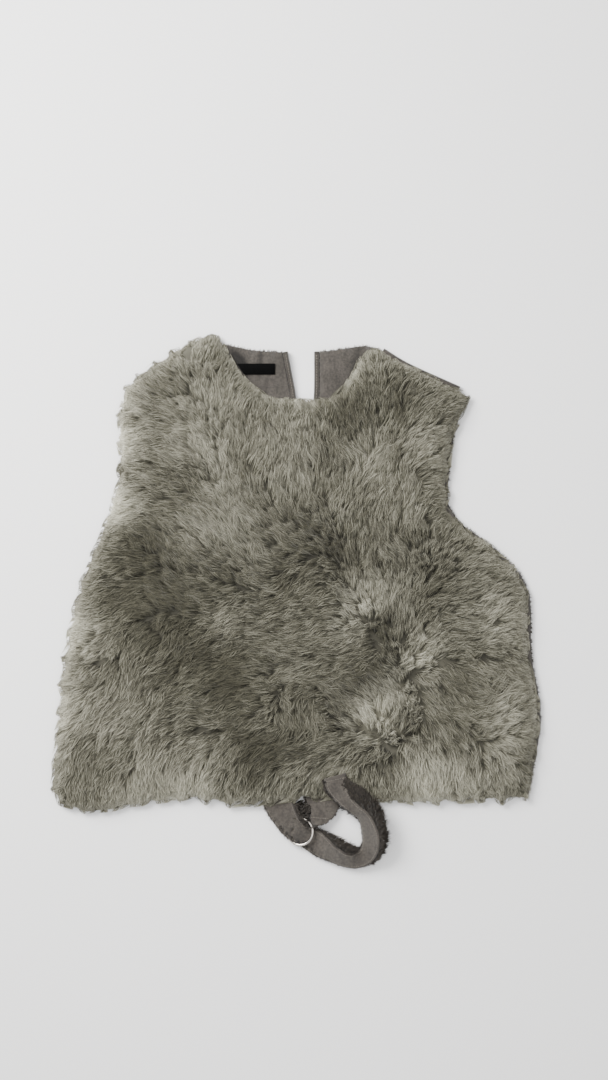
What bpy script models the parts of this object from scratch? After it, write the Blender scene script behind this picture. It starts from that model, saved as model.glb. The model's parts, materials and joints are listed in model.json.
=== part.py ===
"""Sleeveless faux fur top, laid flat, with a strap and a ring at its hem.

The long-pile front lies on two back panels that leave the centre back open. Lengths are in
millimetres and become metres where a mesh is made. X runs to the right of the laid garment,
Y from the hem up to the neck, and Z up from the surface that it lies on. At the end the whole
garment is moved so that the middle of its outline is at X = 0, Y = 0.
"""

import math
from typing import NamedTuple

import bmesh
import bpy
from mathutils import Matrix, Vector

MM = 0.001
GARMENT = "faux_fur_vest"

# Layers, measured up from the surface that the garment lies on
GAP = 0.3
BACK_THICKNESS = 6.0
FRONT_UNDERSIDE = BACK_THICKNESS + GAP
FRONT_PILE = 17.0
FRONT_EDGE_PILE = 2.2
EDGE_ROUNDING = 26.0

# Back neck, which curls up a little where no front lies on it
NECK_CURL = 2.5
NECK_CURL_START = 8.0
NECK_CURL_LENGTH = 36.0

# Narrow pieces along the back's edges
BAND_WIDTH = 6.0
BAND_CROWN = 0.5
SHOULDER_STRIP_WIDTH = {"left": 4.8, "right": 6.5}

# Woven label on the left back panel, its left end slanted along the neckline
LABEL_THICKNESS = 0.8
LABEL_TOP = 480.5
LABEL_BOTTOM = 468.5
LABEL_RIGHT = -32.0
LABEL_LEFT_TOP = -74.0
LABEL_LEFT_BOTTOM = -66.0
LABEL_LIFT = 0.5

# Ring at the hem
RING_CENTRE = Vector((-4.4, -35.8, 7.0))
RING_RADIUS = 14.5
RING_WIRE = 1.4
RING_TILT = math.radians(16.0)
STRAP_HEADING_AT_RING = math.radians(-34.0)

# Tab that is folded round the ring
TAB_THICKNESS = 1.7
TAB_RING_ANGLE = math.radians(38.0)
TAB_RING_CLEARANCE = 1.1
TAB_WRAP_WIDTH = 8.0
TAB_WRAP_FLARE = 1.5
TAB_UNDERLAY_LENGTH = 9.0

# Fur locks along the front's edges
LOCK_DEPTH = {"hem": 3.2, "side": 2.6, "top": 1.6}


class SideRow(NamedTuple):
    """Left and right edge at a share of the height, from the hem (0) to the shoulder (1)."""

    up: float
    left: float
    right: float


class EndRow(NamedTuple):
    """Lower and upper edge at a share of the width, from the left (0) to the right (1)."""

    across: float
    hem: float
    top: float


class Tuft(NamedTuple):
    """Place where the pile stands up or parts, with how far it reaches."""

    x: float
    y: float
    radius: float
    lift: float


class Wave(NamedTuple):
    """Low swell of the pile: its height, its direction and the length that sets its pitch."""

    height: float
    across: float
    up: float
    length: float


class StrapRow(NamedTuple):
    """Section of the strap: middle of its suede face, width, bank in degrees and thickness."""

    x: float
    y: float
    z: float
    width: float
    bank: float
    thickness: float
    gather: float


FRONT_SIDES = [
    SideRow(0.000, -268.0, 246.0),
    SideRow(0.040, -276.0, 248.0),
    SideRow(0.200, -269.0, 257.0),
    SideRow(0.350, -262.0, 246.0),
    SideRow(0.500, -247.0, 243.5),
    SideRow(0.560, -237.5, 230.0),
    SideRow(0.610, -227.5, 208.0),
    SideRow(0.650, -220.0, 184.0),
    SideRow(0.690, -213.0, 160.0),
    SideRow(0.750, -205.0, 155.5),
    SideRow(0.840, -201.5, 159.0),
    SideRow(0.900, -203.5, 164.0),
    SideRow(0.955, -199.5, 175.0),
    SideRow(0.978, -196.0, 181.5),
    SideRow(1.000, -189.0, 170.5),
]

FRONT_ENDS = [
    EndRow(0.00, -3.5, 461.0),
    EndRow(0.05, -12.0, 474.0),
    EndRow(0.10, -11.0, 486.0),
    EndRow(0.16, -4.5, 499.5),
    EndRow(0.22, 0.0, 508.0),
    EndRow(0.25, 2.0, 510.5),
    EndRow(0.275, 1.6, 500.5),
    EndRow(0.30, 1.0, 484.0),
    EndRow(0.335, -2.0, 465.0),
    EndRow(0.37, -3.5, 453.0),
    EndRow(0.42, -4.0, 443.0),
    EndRow(0.50, 2.0, 438.0),
    EndRow(0.58, 2.5, 439.0),
    EndRow(0.62, 2.0, 443.0),
    EndRow(0.65, 1.0, 452.0),
    EndRow(0.68, 0.0, 470.0),
    EndRow(0.71, -1.0, 489.0),
    EndRow(0.74, -1.8, 495.5),
    EndRow(0.82, -2.0, 481.0),
    EndRow(0.88, 0.5, 471.0),
    EndRow(0.94, 0.0, 460.0),
    EndRow(1.00, 3.0, 450.0),
]

BACK_LEFT_SIDES = [
    SideRow(0.00, -260.0, -10.7),
    SideRow(0.04, -266.0, -10.7),
    SideRow(0.20, -259.0, -10.7),
    SideRow(0.35, -251.0, -10.7),
    SideRow(0.50, -236.5, -10.7),
    SideRow(0.61, -217.0, -10.7),
    SideRow(0.69, -203.0, -11.1),
    SideRow(0.76, -196.5, -11.6),
    SideRow(0.84, -193.5, -12.8),
    SideRow(0.90, -194.0, -15.0),
    SideRow(0.955, -191.0, -20.0),
    SideRow(1.00, -184.0, -24.0),
]

BACK_LEFT_ENDS = [
    EndRow(0.00, 3.0, 459.0),
    EndRow(0.15, 3.0, 474.5),
    EndRow(0.35, 3.0, 493.5),
    EndRow(0.50, 3.0, 501.0),
    EndRow(0.60, 3.0, 501.5),
    EndRow(0.78, 3.0, 495.5),
    EndRow(1.00, 3.0, 493.0),
]

BACK_RIGHT_SIDES = [
    SideRow(0.00, 12.9, 247.5),
    SideRow(0.04, 12.9, 251.0),
    SideRow(0.20, 12.9, 261.5),
    SideRow(0.35, 13.0, 251.0),
    SideRow(0.50, 13.5, 249.0),
    SideRow(0.56, 13.7, 235.0),
    SideRow(0.62, 13.9, 207.0),
    SideRow(0.66, 14.1, 181.0),
    SideRow(0.70, 14.4, 161.0),
    SideRow(0.76, 14.8, 159.0),
    SideRow(0.85, 15.8, 162.5),
    SideRow(0.92, 17.3, 167.5),
    SideRow(1.00, 17.3, 170.0),
]

BACK_RIGHT_ENDS = [
    EndRow(0.00, 3.0, 494.0),
    EndRow(0.10, 3.0, 495.0),
    EndRow(0.22, 3.0, 498.0),
    EndRow(0.36, 3.0, 500.0),
    EndRow(0.43, 3.0, 493.5),
    EndRow(0.58, 3.0, 479.0),
    EndRow(0.72, 3.0, 468.5),
    EndRow(0.86, 3.0, 459.0),
    EndRow(1.00, 3.0, 449.5),
]

# Share of each back panel's top edge that the shoulder strip follows
SHOULDER_SPAN = {"left": (0.0, 0.52), "right": (0.43, 1.0)}

TUFTS = [
    Tuft(81.0, 215.0, 34.0, 3.0),
    Tuft(89.0, 72.0, 36.0, 3.4),
    Tuft(128.0, 143.0, 30.0, 2.8),
    Tuft(-120.0, 308.0, 38.0, 1.6),
    Tuft(-4.0, 385.0, 40.0, 1.4),
    Tuft(-59.0, 205.0, 36.0, 1.8),
    Tuft(29.0, 290.0, 34.0, 1.5),
    Tuft(-170.0, 90.0, 40.0, 1.8),
    Tuft(190.0, 215.0, 30.0, 1.6),
    Tuft(-186.0, 220.0, 28.0, -3.6),
    Tuft(-65.0, 121.0, 32.0, -3.6),
    Tuft(73.0, 369.0, 28.0, -3.2),
    Tuft(183.0, 95.0, 28.0, -2.6),
    Tuft(-110.0, 410.0, 30.0, -2.4),
    Tuft(10.0, 40.0, 30.0, -1.8),
]

PILE_WAVES = [
    Wave(0.7, 0.91, 0.41, 9.0),
    Wave(0.6, -0.34, 0.94, 7.5),
    Wave(0.5, 0.64, -0.77, 12.5),
]

STRAP = [
    StrapRow(-29.0, 0.2, 5.5, 34.0, 0.0, 4.9, 0.0),
    StrapRow(-28.3, -4.8, 5.7, 33.0, 0.0, 4.9, 0.2),
    StrapRow(-25.4, -11.8, 6.9, 30.5, 0.0, 4.9, 0.5),
    StrapRow(-20.8, -20.0, 10.2, 27.5, 0.0, 4.4, 0.9),
    StrapRow(-15.0, -28.5, 10.8, 24.5, 0.0, 4.2, 1.0),
    StrapRow(-6.2, -37.2, 9.0, 19.5, 0.0, 4.0, 0.9),
    StrapRow(3.3, -43.9, 7.3, 19.0, 0.0, 3.8, 0.7),
    StrapRow(14.5, -49.8, 8.6, 25.0, -6.0, 4.6, 0.3),
    StrapRow(31.0, -57.5, 13.2, 28.0, -26.0, 6.6, 0.0),
    StrapRow(46.5, -64.5, 13.4, 25.0, -24.0, 7.2, 0.0),
    StrapRow(58.0, -66.5, 11.2, 20.0, -8.0, 8.0, 0.0),
    StrapRow(68.0, -61.5, 12.6, 19.5, 14.0, 9.0, 0.0),
    StrapRow(72.8, -50.0, 16.0, 24.0, 36.0, 9.5, 0.0),
    StrapRow(72.6, -35.0, 18.2, 27.0, 43.0, 10.0, 0.0),
    StrapRow(68.5, -16.5, 19.2, 28.0, 36.0, 9.0, 0.0),
    StrapRow(59.0, -4.8, 20.0, 28.0, 20.0, 7.0, 0.0),
    StrapRow(48.5, 4.4, 18.8, 28.0, 8.0, 5.2, 0.0),
    StrapRow(37.6, 15.4, 17.4, 26.5, 0.0, 4.7, 0.0),
    StrapRow(34.0, 26.8, 16.8, 24.5, 0.0, 4.6, 0.0),
]
STRAP_SECTIONS = 52
STRAP_PLEATS = 3

# Pile that the strap's free end presses down
PRESSING_ROWS = STRAP[-4:]
PRESSED_HEIGHT = 11.0
PRESSED_REACH = 16.0
PRESSED_RISE = 9.0


def srgb(red, green, blue):
    """Return the linear colour of an 8-bit screen colour."""
    return tuple((channel / 255.0) ** 2.2 for channel in (red, green, blue)) + (1.0,)


def make_material(name, color, roughness, metallic=0.0):
    """Return a material with one plain surface."""
    material = bpy.data.materials.new(name)
    material.use_nodes = True
    surface = material.node_tree.nodes["Principled BSDF"]
    surface.inputs["Base Color"].default_value = color
    surface.inputs["Roughness"].default_value = roughness
    surface.inputs["Metallic"].default_value = metallic
    material.diffuse_color = color
    return material


def mix(low, high, share):
    """Return the value at a share of the way from low to high."""
    return low + (high - low) * share


def smooth_step(value):
    """Return 0 below 0, 1 above 1 and a soft rise between."""
    held = min(max(value, 0.0), 1.0)
    return held * held * (3.0 - 2.0 * held)


def curve_value(places, values, at):
    """Return the value at a place on a soft curve through a table's two columns."""
    last = len(places) - 1
    index = min(max(sum(place <= at for place in places) - 1, 0), last - 1)

    def slope(row):
        before, after = max(row - 1, 0), min(row + 1, last)
        return (values[after] - values[before]) / (places[after] - places[before])

    step = places[index + 1] - places[index]
    t = (at - places[index]) / step
    return (
        (2 * t**3 - 3 * t**2 + 1) * values[index]
        + (t**3 - 2 * t**2 + t) * step * slope(index)
        + (3 * t**2 - 2 * t**3) * values[index + 1]
        + (t**3 - t**2) * step * slope(index + 1)
    )


def column(rows, name):
    """Return one named column of a table."""
    return [getattr(row, name) for row in rows]


class Cut:
    """Flat shape of one cut piece, from its side and end tables."""

    def __init__(self, sides, ends):
        self.sides = sides
        self.ends = ends

    def side(self, name, up):
        """Return the X of the left or right edge at a share of the height."""
        return curve_value(column(self.sides, "up"), column(self.sides, name), up)

    def end(self, name, across):
        """Return the Y of the hem or top edge at a share of the width."""
        return curve_value(column(self.ends, "across"), column(self.ends, name), across)

    def point(self, across, up):
        """Return the point at a share of the width and of the height."""
        x = mix(self.side("left", up), self.side("right", up), across)
        y = mix(self.end("hem", across), self.end("top", across), up)
        return Vector((x, y))


FRONT_CUT = Cut(FRONT_SIDES, FRONT_ENDS)
BACK_CUT = {
    "left": Cut(BACK_LEFT_SIDES, BACK_LEFT_ENDS),
    "right": Cut(BACK_RIGHT_SIDES, BACK_RIGHT_ENDS),
}


def even_shares(count):
    """Return evenly spaced shares from 0 to 1."""
    return [step / count for step in range(count + 1)]


def bordered_shares(count, length, borders=(7.0, 16.0)):
    """Return shares from 0 to 1 with closer steps, in millimetres, at both ends."""
    low = [border / length for border in borders]
    inner = [mix(low[-1], 1.0 - low[-1], step / count) for step in range(1, count)]
    return [0.0] + low + inner + [1.0 - share for share in reversed(low)] + [1.0]


def outline_of(points):
    """Return the grid positions round a grid of points, anticlockwise, with their edge's name."""
    columns, rows = len(points) - 1, len(points[0]) - 1
    loop = [(i, 0, "hem") for i in range(columns)]
    loop += [(columns, j, "side") for j in range(rows)]
    loop += [(i, rows, "top") for i in range(columns, 0, -1)]
    loop += [(0, j, "side") for j in range(rows, 0, -1)]
    return loop


def comb_locks(points):
    """Move the outline's points in and out so that the edge ends in uneven locks of pile."""
    loop = outline_of(points)
    places = [points[i][j].copy() for i, j, _ in loop]
    for index, (i, j, edge) in enumerate(loop):
        along = places[(index + 1) % len(loop)] - places[index - 1]
        outward = Vector((along.y, -along.x)).normalized()
        swing = 0.7 * math.sin(2.2 * index) + 0.5 * math.sin(3.9 * index + 1.0)
        points[i][j] = places[index] + outward * swing * LOCK_DEPTH[edge]


def distance_to_line(point, line):
    """Return the shortest distance from a point to a line through a list of points."""
    shortest = math.inf
    for start, end in zip(line, line[1:]):
        along = end - start
        share = min(max((point - start).dot(along) / along.length_squared, 0.0), 1.0)
        shortest = min(shortest, (point - start - along * share).length)
    return shortest


def pile_height(point, edge_distance):
    """Return how high the front's pile stands above the surface at a point."""
    pile = FRONT_PILE
    for tuft in TUFTS:
        reach = ((point.x - tuft.x) ** 2 + (point.y - tuft.y) ** 2) / tuft.radius**2
        pile += tuft.lift * math.exp(-reach)
    for wave in PILE_WAVES:
        pile += wave.height * math.sin((point.x * wave.across + point.y * wave.up) / wave.length)
    inward = min(edge_distance / EDGE_ROUNDING, 1.0)
    rounding = math.sqrt(1.0 - (1.0 - inward) ** 2)
    height = FRONT_UNDERSIDE + mix(FRONT_EDGE_PILE, pile, rounding)
    pressing = [Vector((row.x, row.y)) for row in PRESSING_ROWS]
    offset = distance_to_line(point, pressing) - PRESSED_REACH
    return mix(min(height, PRESSED_HEIGHT), height, smooth_step(offset / PRESSED_RISE))


def back_height(point):
    """Return the height of a back panel's inner side at a point."""
    low, high = FRONT_SIDES[-1].left, FRONT_SIDES[-1].right
    across = min(max((point.x - low) / (high - low), 0.0), 1.0)
    shown = point.y - FRONT_CUT.end("top", across) - NECK_CURL_START
    return BACK_THICKNESS + NECK_CURL * smooth_step(shown / NECK_CURL_LENGTH)


def add_object(name, mesh, material, collection, parent):
    """Put a finished mesh in the garment's collection and return its object."""
    mesh.materials.append(material)
    mesh.shade_smooth()
    mesh.set_sharp_from_angle(angle=math.radians(40.0))
    piece = bpy.data.objects.new(name, mesh)
    piece.parent = parent
    collection.objects.link(piece)
    return piece


def finish_mesh(name, shape):
    """Turn a bmesh in millimetres into a mesh in metres, its faces pointing out."""
    bmesh.ops.recalc_face_normals(shape, faces=shape.faces)
    bmesh.ops.transform(shape, matrix=Matrix.Scale(MM, 4), verts=shape.verts)
    mesh = bpy.data.meshes.new(name)
    shape.to_mesh(mesh)
    shape.free()
    return mesh


def sheet_mesh(name, points, underside, height_at, flat_underside=True):
    """Return a closed sheet over a grid of points, with its upper side at height_at(point).

    With flat_underside the lower side is one flat face at the height underside. Otherwise it
    follows the upper side, underside millimetres beneath it.
    """
    columns, rows = len(points) - 1, len(points[0]) - 1
    shape = bmesh.new()
    bmesh.ops.create_grid(shape, x_segments=columns, y_segments=rows, size=0.5)
    places = []
    for vert in shape.verts:
        i = round((vert.co.x + 0.5) * columns)
        j = round((vert.co.y + 0.5) * rows)
        places.append(points[i][j])
    for vert, place in zip(shape.verts, places):
        low = underside if flat_underside else height_at(place) - underside
        vert.co = (place.x, place.y, low)
    lower = shape.faces[:]
    raised = bmesh.ops.extrude_face_region(shape, geom=lower)
    for vert in (item for item in raised["geom"] if isinstance(item, bmesh.types.BMVert)):
        vert.co.z = height_at(vert.co.to_2d())
    if flat_underside:
        bottom = [face for face in shape.faces if all(vert.co.z == underside for vert in face.verts)]
        bmesh.ops.dissolve_faces(shape, faces=bottom)
    return finish_mesh(name, shape)


def loft_mesh(name, sections):
    """Return a closed mesh through sections that have the same number of points."""
    shape = bmesh.new()
    rings = [[shape.verts.new(point) for point in section] for section in sections]
    count = len(rings[0])
    for ring, following in zip(rings, rings[1:]):
        for index in range(count):
            after = (index + 1) % count
            shape.faces.new((ring[index], ring[after], following[after], following[index]))
    shape.faces.new(rings[0])
    shape.faces.new(rings[-1])
    return finish_mesh(name, shape)


def build_front():
    """Return the front's mesh: long pile on one flat cloth, its edges ending in locks."""
    across = bordered_shares(54, 430.0)
    up = bordered_shares(42, 460.0)
    points = [[FRONT_CUT.point(u, v) for v in up] for u in across]
    comb_locks(points)
    outline = [points[i][j] for i, j, _ in outline_of(points)]
    outline.append(outline[0])

    def height(point):
        return pile_height(point, distance_to_line(point, outline))

    return sheet_mesh("front", points, FRONT_UNDERSIDE, height)


def back_shares():
    """Return the shares across and up at which both back panels are cut into faces."""
    across = even_shares(18)
    up = even_shares(22) + [0.975, 0.93]
    return across, sorted(up)


def build_back(side):
    """Return the mesh of the left or right back panel."""
    across, up = back_shares()
    points = [[BACK_CUT[side].point(u, v) for v in up] for u in across]
    return sheet_mesh(f"back_{side}", points, 0.0, back_height)


def edge_strip_mesh(name, edge, side, width):
    """Return a narrow strip beside an edge's points, standing as high as the panel there.

    The strip lies on the given side of the edge's direction: 1 for its right and -1 for its left.
    Where the panel curls up, the strip is a little crowned.
    """
    sections = []
    for index, point in enumerate(edge):
        before, after = edge[max(index - 1, 0)], edge[min(index + 1, len(edge) - 1)]
        along = (after - before).normalized()
        outward = Vector((along.y, -along.x)) * side
        top = back_height(point)
        crown = BAND_CROWN * (top - BACK_THICKNESS) / NECK_CURL
        profile = [
            (GAP, 0.0),
            (GAP + width * 0.9, 0.0),
            (GAP + width, top * 0.5),
            (GAP + width * 0.85, top + crown * 0.4),
            (GAP + width * 0.5, top + crown),
            (GAP, top),
        ]
        places = [(point + outward * offset, height) for offset, height in profile]
        sections.append([Vector((place.x, place.y, height)) for place, height in places])
    return loft_mesh(name, sections)


def build_edge_band(side):
    """Return the mesh of the turned band along a panel's centre back edge."""
    _, up = back_shares()
    inner = 1.0 if side == "left" else 0.0
    edge = [BACK_CUT[side].point(inner, v) for v in up]
    turn = 1.0 if side == "left" else -1.0
    return edge_strip_mesh(f"edge_band_{side}", edge, turn, BAND_WIDTH)


def build_shoulder_strip(side):
    """Return the mesh of the turned seam strip along a panel's shoulder."""
    across, _ = back_shares()
    low, high = SHOULDER_SPAN[side]
    edge = [BACK_CUT[side].point(u, 1.0) for u in across if low - 1e-6 <= u <= high + 1e-6]
    return edge_strip_mesh(f"shoulder_strip_{side}", edge, -1.0, SHOULDER_STRIP_WIDTH[side])


def build_label():
    """Return the mesh of the bare woven label, lying on the left back panel."""
    points = []
    for u in even_shares(6):
        top = Vector((mix(LABEL_LEFT_TOP, LABEL_RIGHT, u), LABEL_TOP))
        bottom = Vector((mix(LABEL_LEFT_BOTTOM, LABEL_RIGHT, u), LABEL_BOTTOM))
        points.append([bottom.lerp(top, v) for v in even_shares(2)])

    def height(point):
        return back_height(point) + LABEL_LIFT + LABEL_THICKNESS

    return sheet_mesh("neck_label", points, LABEL_THICKNESS, height, flat_underside=False)


def ribbon_section(centre, across, normal, width, thickness, gather=0.0):
    """Return a strap section: the suede face with its pleats above, the pile beneath."""
    steps = 2 * STRAP_PLEATS
    section = []
    for step in range(steps + 1):
        share = mix(-0.47, 0.47, step / steps)
        fold = gather * (0.5 - 0.5 * math.cos(math.pi * step))
        section.append(centre + across * width * share - normal * fold)
    for share, depth in ((0.5, 0.18), (0.48, 0.75), (0.36, 1.0), (-0.36, 1.0), (-0.48, 0.75), (-0.5, 0.18)):
        section.append(centre + across * width * share - normal * thickness * depth)
    return section


def build_strap():
    """Return the strap's mesh: from the left hem through the ring, round its loop to its end."""
    places = [float(index) for index in range(len(STRAP))]
    columns = {name: column(STRAP, name) for name in StrapRow._fields}

    def row_at(place):
        return StrapRow(*(curve_value(places, columns[name], place) for name in StrapRow._fields))

    rows = [row_at(places[-1] * share) for share in even_shares(STRAP_SECTIONS)]
    centres = [Vector((row.x, row.y, row.z)) for row in rows]
    sections = []
    for index, row in enumerate(rows):
        before, after = centres[max(index - 1, 0)], centres[min(index + 1, len(rows) - 1)]
        heading = (after - before).normalized()
        level = heading.cross(Vector((0.0, 0.0, 1.0))).normalized()
        across = Matrix.Rotation(-math.radians(row.bank), 3, heading) @ level
        normal = across.cross(heading).normalized()
        section = ribbon_section(centres[index], across, normal, row.width, row.thickness, row.gather)
        sections.append(section)
    return loft_mesh("strap", sections)


def ring_rise(point):
    """Return the height of the ring's middle plane at a point."""
    heading = Vector((math.cos(STRAP_HEADING_AT_RING), math.sin(STRAP_HEADING_AT_RING)))
    return RING_CENTRE.z + math.tan(RING_TILT) * (point - RING_CENTRE).to_2d().dot(heading)


def build_tab():
    """Return the tab's mesh: from the right hem down to the ring, round its wire and back."""
    radial = Vector((math.cos(TAB_RING_ANGLE), math.sin(TAB_RING_ANGLE), 0.0))
    tangent = Vector((-radial.y, radial.x, 0.0))
    wire = RING_CENTRE + radial * RING_RADIUS
    wire.z = ring_rise(wire)
    tangent.z = ring_rise(wire + tangent) - wire.z
    tangent.normalize()
    turn = RING_WIRE + TAB_RING_CLEARANCE + TAB_THICKNESS
    up = Vector((0.0, 0.0, 1.0))
    hem = Vector((22.5, 2.4, 5.5))
    knee = Vector((21.0, -12.0, 7.6))
    stitch = Vector((16.5, -20.5, 10.0))
    level = Vector((1.0, 0.0, 0.0))
    slant = Vector((0.84, -0.54, 0.0))
    stations = [
        (hem, -level, up, 41.0),
        (hem.lerp(knee, 0.5), -level, up, 36.0),
        (knee, -Vector((0.94, -0.34, 0.0)), up, 29.0),
        (stitch, -slant, up, 20.0),
    ]
    for step in range(9):
        angle = math.radians(70.0 + 27.5 * step)
        normal = radial * math.cos(angle) + up * math.sin(angle)
        width = TAB_WRAP_WIDTH + TAB_WRAP_FLARE * max(1.0 - step / 2.0, 0.0)
        stations.append((wire + normal * turn, tangent, normal, width))
    tail = wire - up * turn + radial * TAB_UNDERLAY_LENGTH
    stations.append((tail, tangent, -up, TAB_WRAP_WIDTH))
    sections = []
    for centre, across, normal, width in stations:
        half = across * width / 2.0
        inner = centre - normal * TAB_THICKNESS
        sections.append([centre - half, centre + half, inner + half, inner - half])
    return loft_mesh("strap_tab", sections)


def build_ring():
    """Return the ring's mesh, tilted on the strap that goes through it."""
    bpy.ops.mesh.primitive_torus_add(
        major_radius=RING_RADIUS, minor_radius=RING_WIRE, major_segments=36, minor_segments=8
    )
    torus = bpy.context.object
    mesh = torus.data
    mesh.name = "ring"
    width_axis = Vector((-math.sin(STRAP_HEADING_AT_RING), math.cos(STRAP_HEADING_AT_RING), 0.0))
    tilt = Matrix.Rotation(-RING_TILT, 4, width_axis)
    mesh.transform(Matrix.Scale(MM, 4) @ Matrix.Translation(RING_CENTRE) @ tilt)
    bpy.data.objects.remove(torus)
    return mesh


def centre_garment(anchor, pieces):
    """Move the garment so that the middle of its outline is at X = 0, Y = 0."""
    corners = [vert.co for piece in pieces for vert in piece.data.vertices]
    for axis in (0, 1):
        values = [corner[axis] for corner in corners]
        anchor.location[axis] = -(min(values) + max(values)) / 2.0
    anchor.location.z = -min(corner.z for corner in corners)


def main():
    """Build the garment's pieces in their collection."""
    for item in list(bpy.data.objects):
        bpy.data.objects.remove(item)
    collection = bpy.data.collections.new(GARMENT)
    bpy.context.scene.collection.children.link(collection)
    anchor = bpy.data.objects.new("laid_garment", None)
    collection.objects.link(anchor)

    fur = make_material("long_pile_fur", srgb(122, 118, 105), 0.9)
    suede = make_material("taupe_suede", srgb(107, 102, 96), 0.85)
    suede_edge = make_material("turned_suede_edge", srgb(100, 95, 89), 0.85)
    strap_suede = make_material("strap_suede", srgb(111, 106, 99), 0.85)
    woven = make_material("black_woven_label", srgb(20, 21, 21), 0.7)
    steel = make_material("polished_ring_metal", srgb(196, 190, 184), 0.25, metallic=1.0)

    meshes = [
        ("back_left", build_back("left"), suede),
        ("back_right", build_back("right"), suede),
        ("edge_band_left", build_edge_band("left"), suede_edge),
        ("edge_band_right", build_edge_band("right"), suede_edge),
        ("shoulder_strip_left", build_shoulder_strip("left"), suede_edge),
        ("shoulder_strip_right", build_shoulder_strip("right"), suede_edge),
        ("neck_label", build_label(), woven),
        ("front", build_front(), fur),
        ("strap", build_strap(), strap_suede),
        ("strap_tab", build_tab(), strap_suede),
        ("ring", build_ring(), steel),
    ]
    pieces = [
        add_object(name, mesh, material, collection, anchor) for name, mesh, material in meshes
    ]
    centre_garment(anchor, pieces)


if __name__ == "__main__":
    main()
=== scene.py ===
"""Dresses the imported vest: long pile, suede panels, edges, stitches, label, strap and ring.

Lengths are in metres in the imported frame. Pattern lengths are millimetres from the middle of the
hem, and the marks for the pile are in pixels of the picture.
"""

import json
import logging
import math
from contextlib import contextmanager
from dataclasses import dataclass, field
from enum import Enum
from typing import Callable, Iterator, NamedTuple

import bmesh
import bpy
import numpy as np
from mathutils import Matrix, Vector
from mathutils.bvhtree import BVHTree

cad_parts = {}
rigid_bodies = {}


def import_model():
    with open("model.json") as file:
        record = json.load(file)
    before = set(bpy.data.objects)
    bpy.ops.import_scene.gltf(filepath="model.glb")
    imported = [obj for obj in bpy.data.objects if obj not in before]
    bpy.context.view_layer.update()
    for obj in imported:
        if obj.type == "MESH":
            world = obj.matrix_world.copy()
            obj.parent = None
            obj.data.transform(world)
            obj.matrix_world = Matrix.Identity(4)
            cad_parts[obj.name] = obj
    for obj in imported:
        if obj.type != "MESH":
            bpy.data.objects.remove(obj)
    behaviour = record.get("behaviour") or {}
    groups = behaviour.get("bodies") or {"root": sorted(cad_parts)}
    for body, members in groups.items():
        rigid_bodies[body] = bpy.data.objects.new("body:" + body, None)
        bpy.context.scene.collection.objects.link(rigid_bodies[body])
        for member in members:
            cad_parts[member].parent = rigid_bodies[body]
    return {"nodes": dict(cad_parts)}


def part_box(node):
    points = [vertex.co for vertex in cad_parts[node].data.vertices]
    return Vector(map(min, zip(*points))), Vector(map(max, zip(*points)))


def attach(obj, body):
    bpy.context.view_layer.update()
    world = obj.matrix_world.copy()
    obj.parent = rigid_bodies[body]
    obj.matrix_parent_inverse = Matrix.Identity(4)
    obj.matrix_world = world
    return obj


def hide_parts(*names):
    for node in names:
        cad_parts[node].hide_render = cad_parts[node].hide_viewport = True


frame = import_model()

LOG = logging.getLogger("vest")
MM = 0.001
BODY = "root"
STRAND_MAP = "OFBake"
GROWTH_MARKS = ("shade", "lift", "comb", "tone", "depth", "reach", "aim", "hue", "tint")
PILE_SOCKETS = {"Lock shapes": "Collection", "Kinds": "Int", "Seed": "Int", "Finish": "Material"}
TONE_LIMITS = (0.01, 0.99)
MERGE_GAP = 0.02 * MM
RAY_HEIGHT = 0.2
TINY = 1e-9
PARALLEL = 1e-12

Colour = tuple[float, float, float, float]
Socket = bpy.types.NodeSocket
Object = bpy.types.Object
Mesh = bpy.types.Mesh
FaceTest = Callable[[bmesh.types.BMFace], bool]


def linear(red: int, green: int, blue: int) -> Colour:
    """Turn an 8-bit screen colour into the renderer's linear colour.

    Args:
        red: Red channel, 0 to 255.
        green: Green channel, 0 to 255.
        blue: Blue channel, 0 to 255.

    Returns:
        The linear colour with an alpha of 1.
    """
    return tuple((channel / 255.0) ** 2.2 for channel in (red, green, blue)) + (1.0,)


def grey(value: float) -> Colour:
    """Return a grey of the same value in each channel."""
    return (value, value, value, 1.0)


def dimmed(colour: Colour, share: float) -> Colour:
    """Return a colour at a share of its strength."""
    return tuple(channel * share for channel in colour[:3]) + (1.0,)


@dataclass(frozen=True)
class Layout:
    """Where the pattern's millimetres and the picture's pixels lie in the frame."""

    shift_x: float
    shift_y: float
    pixel_mm: float = 1.1
    middle_px: float = 304.0
    hem_px: float = 800.0

    @classmethod
    def from_label(cls, right: float = -32.0, top: float = 480.5) -> "Layout":
        """Find the pattern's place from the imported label's upper right corner.

        Args:
            right: The label's right end on the pattern, in millimetres.
            top: The label's upper edge on the pattern, in millimetres.

        Returns:
            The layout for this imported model.
        """
        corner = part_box("neck_label")[1]
        return cls(corner.x - right * MM, corner.y - top * MM)

    def pattern(self, x: float, y: float, z: float = 0.0) -> Vector:
        """Return the place in the frame of a pattern point in millimetres."""
        return Vector((x * MM + self.shift_x, y * MM + self.shift_y, z * MM))

    def pixel(self, x: float, y: float) -> Vector:
        """Return the place in the frame of a pixel of the picture."""
        return self.pattern((x - self.middle_px) * self.pixel_mm, (self.hem_px - y) * self.pixel_mm)


LAYOUT = Layout.from_label()


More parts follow.
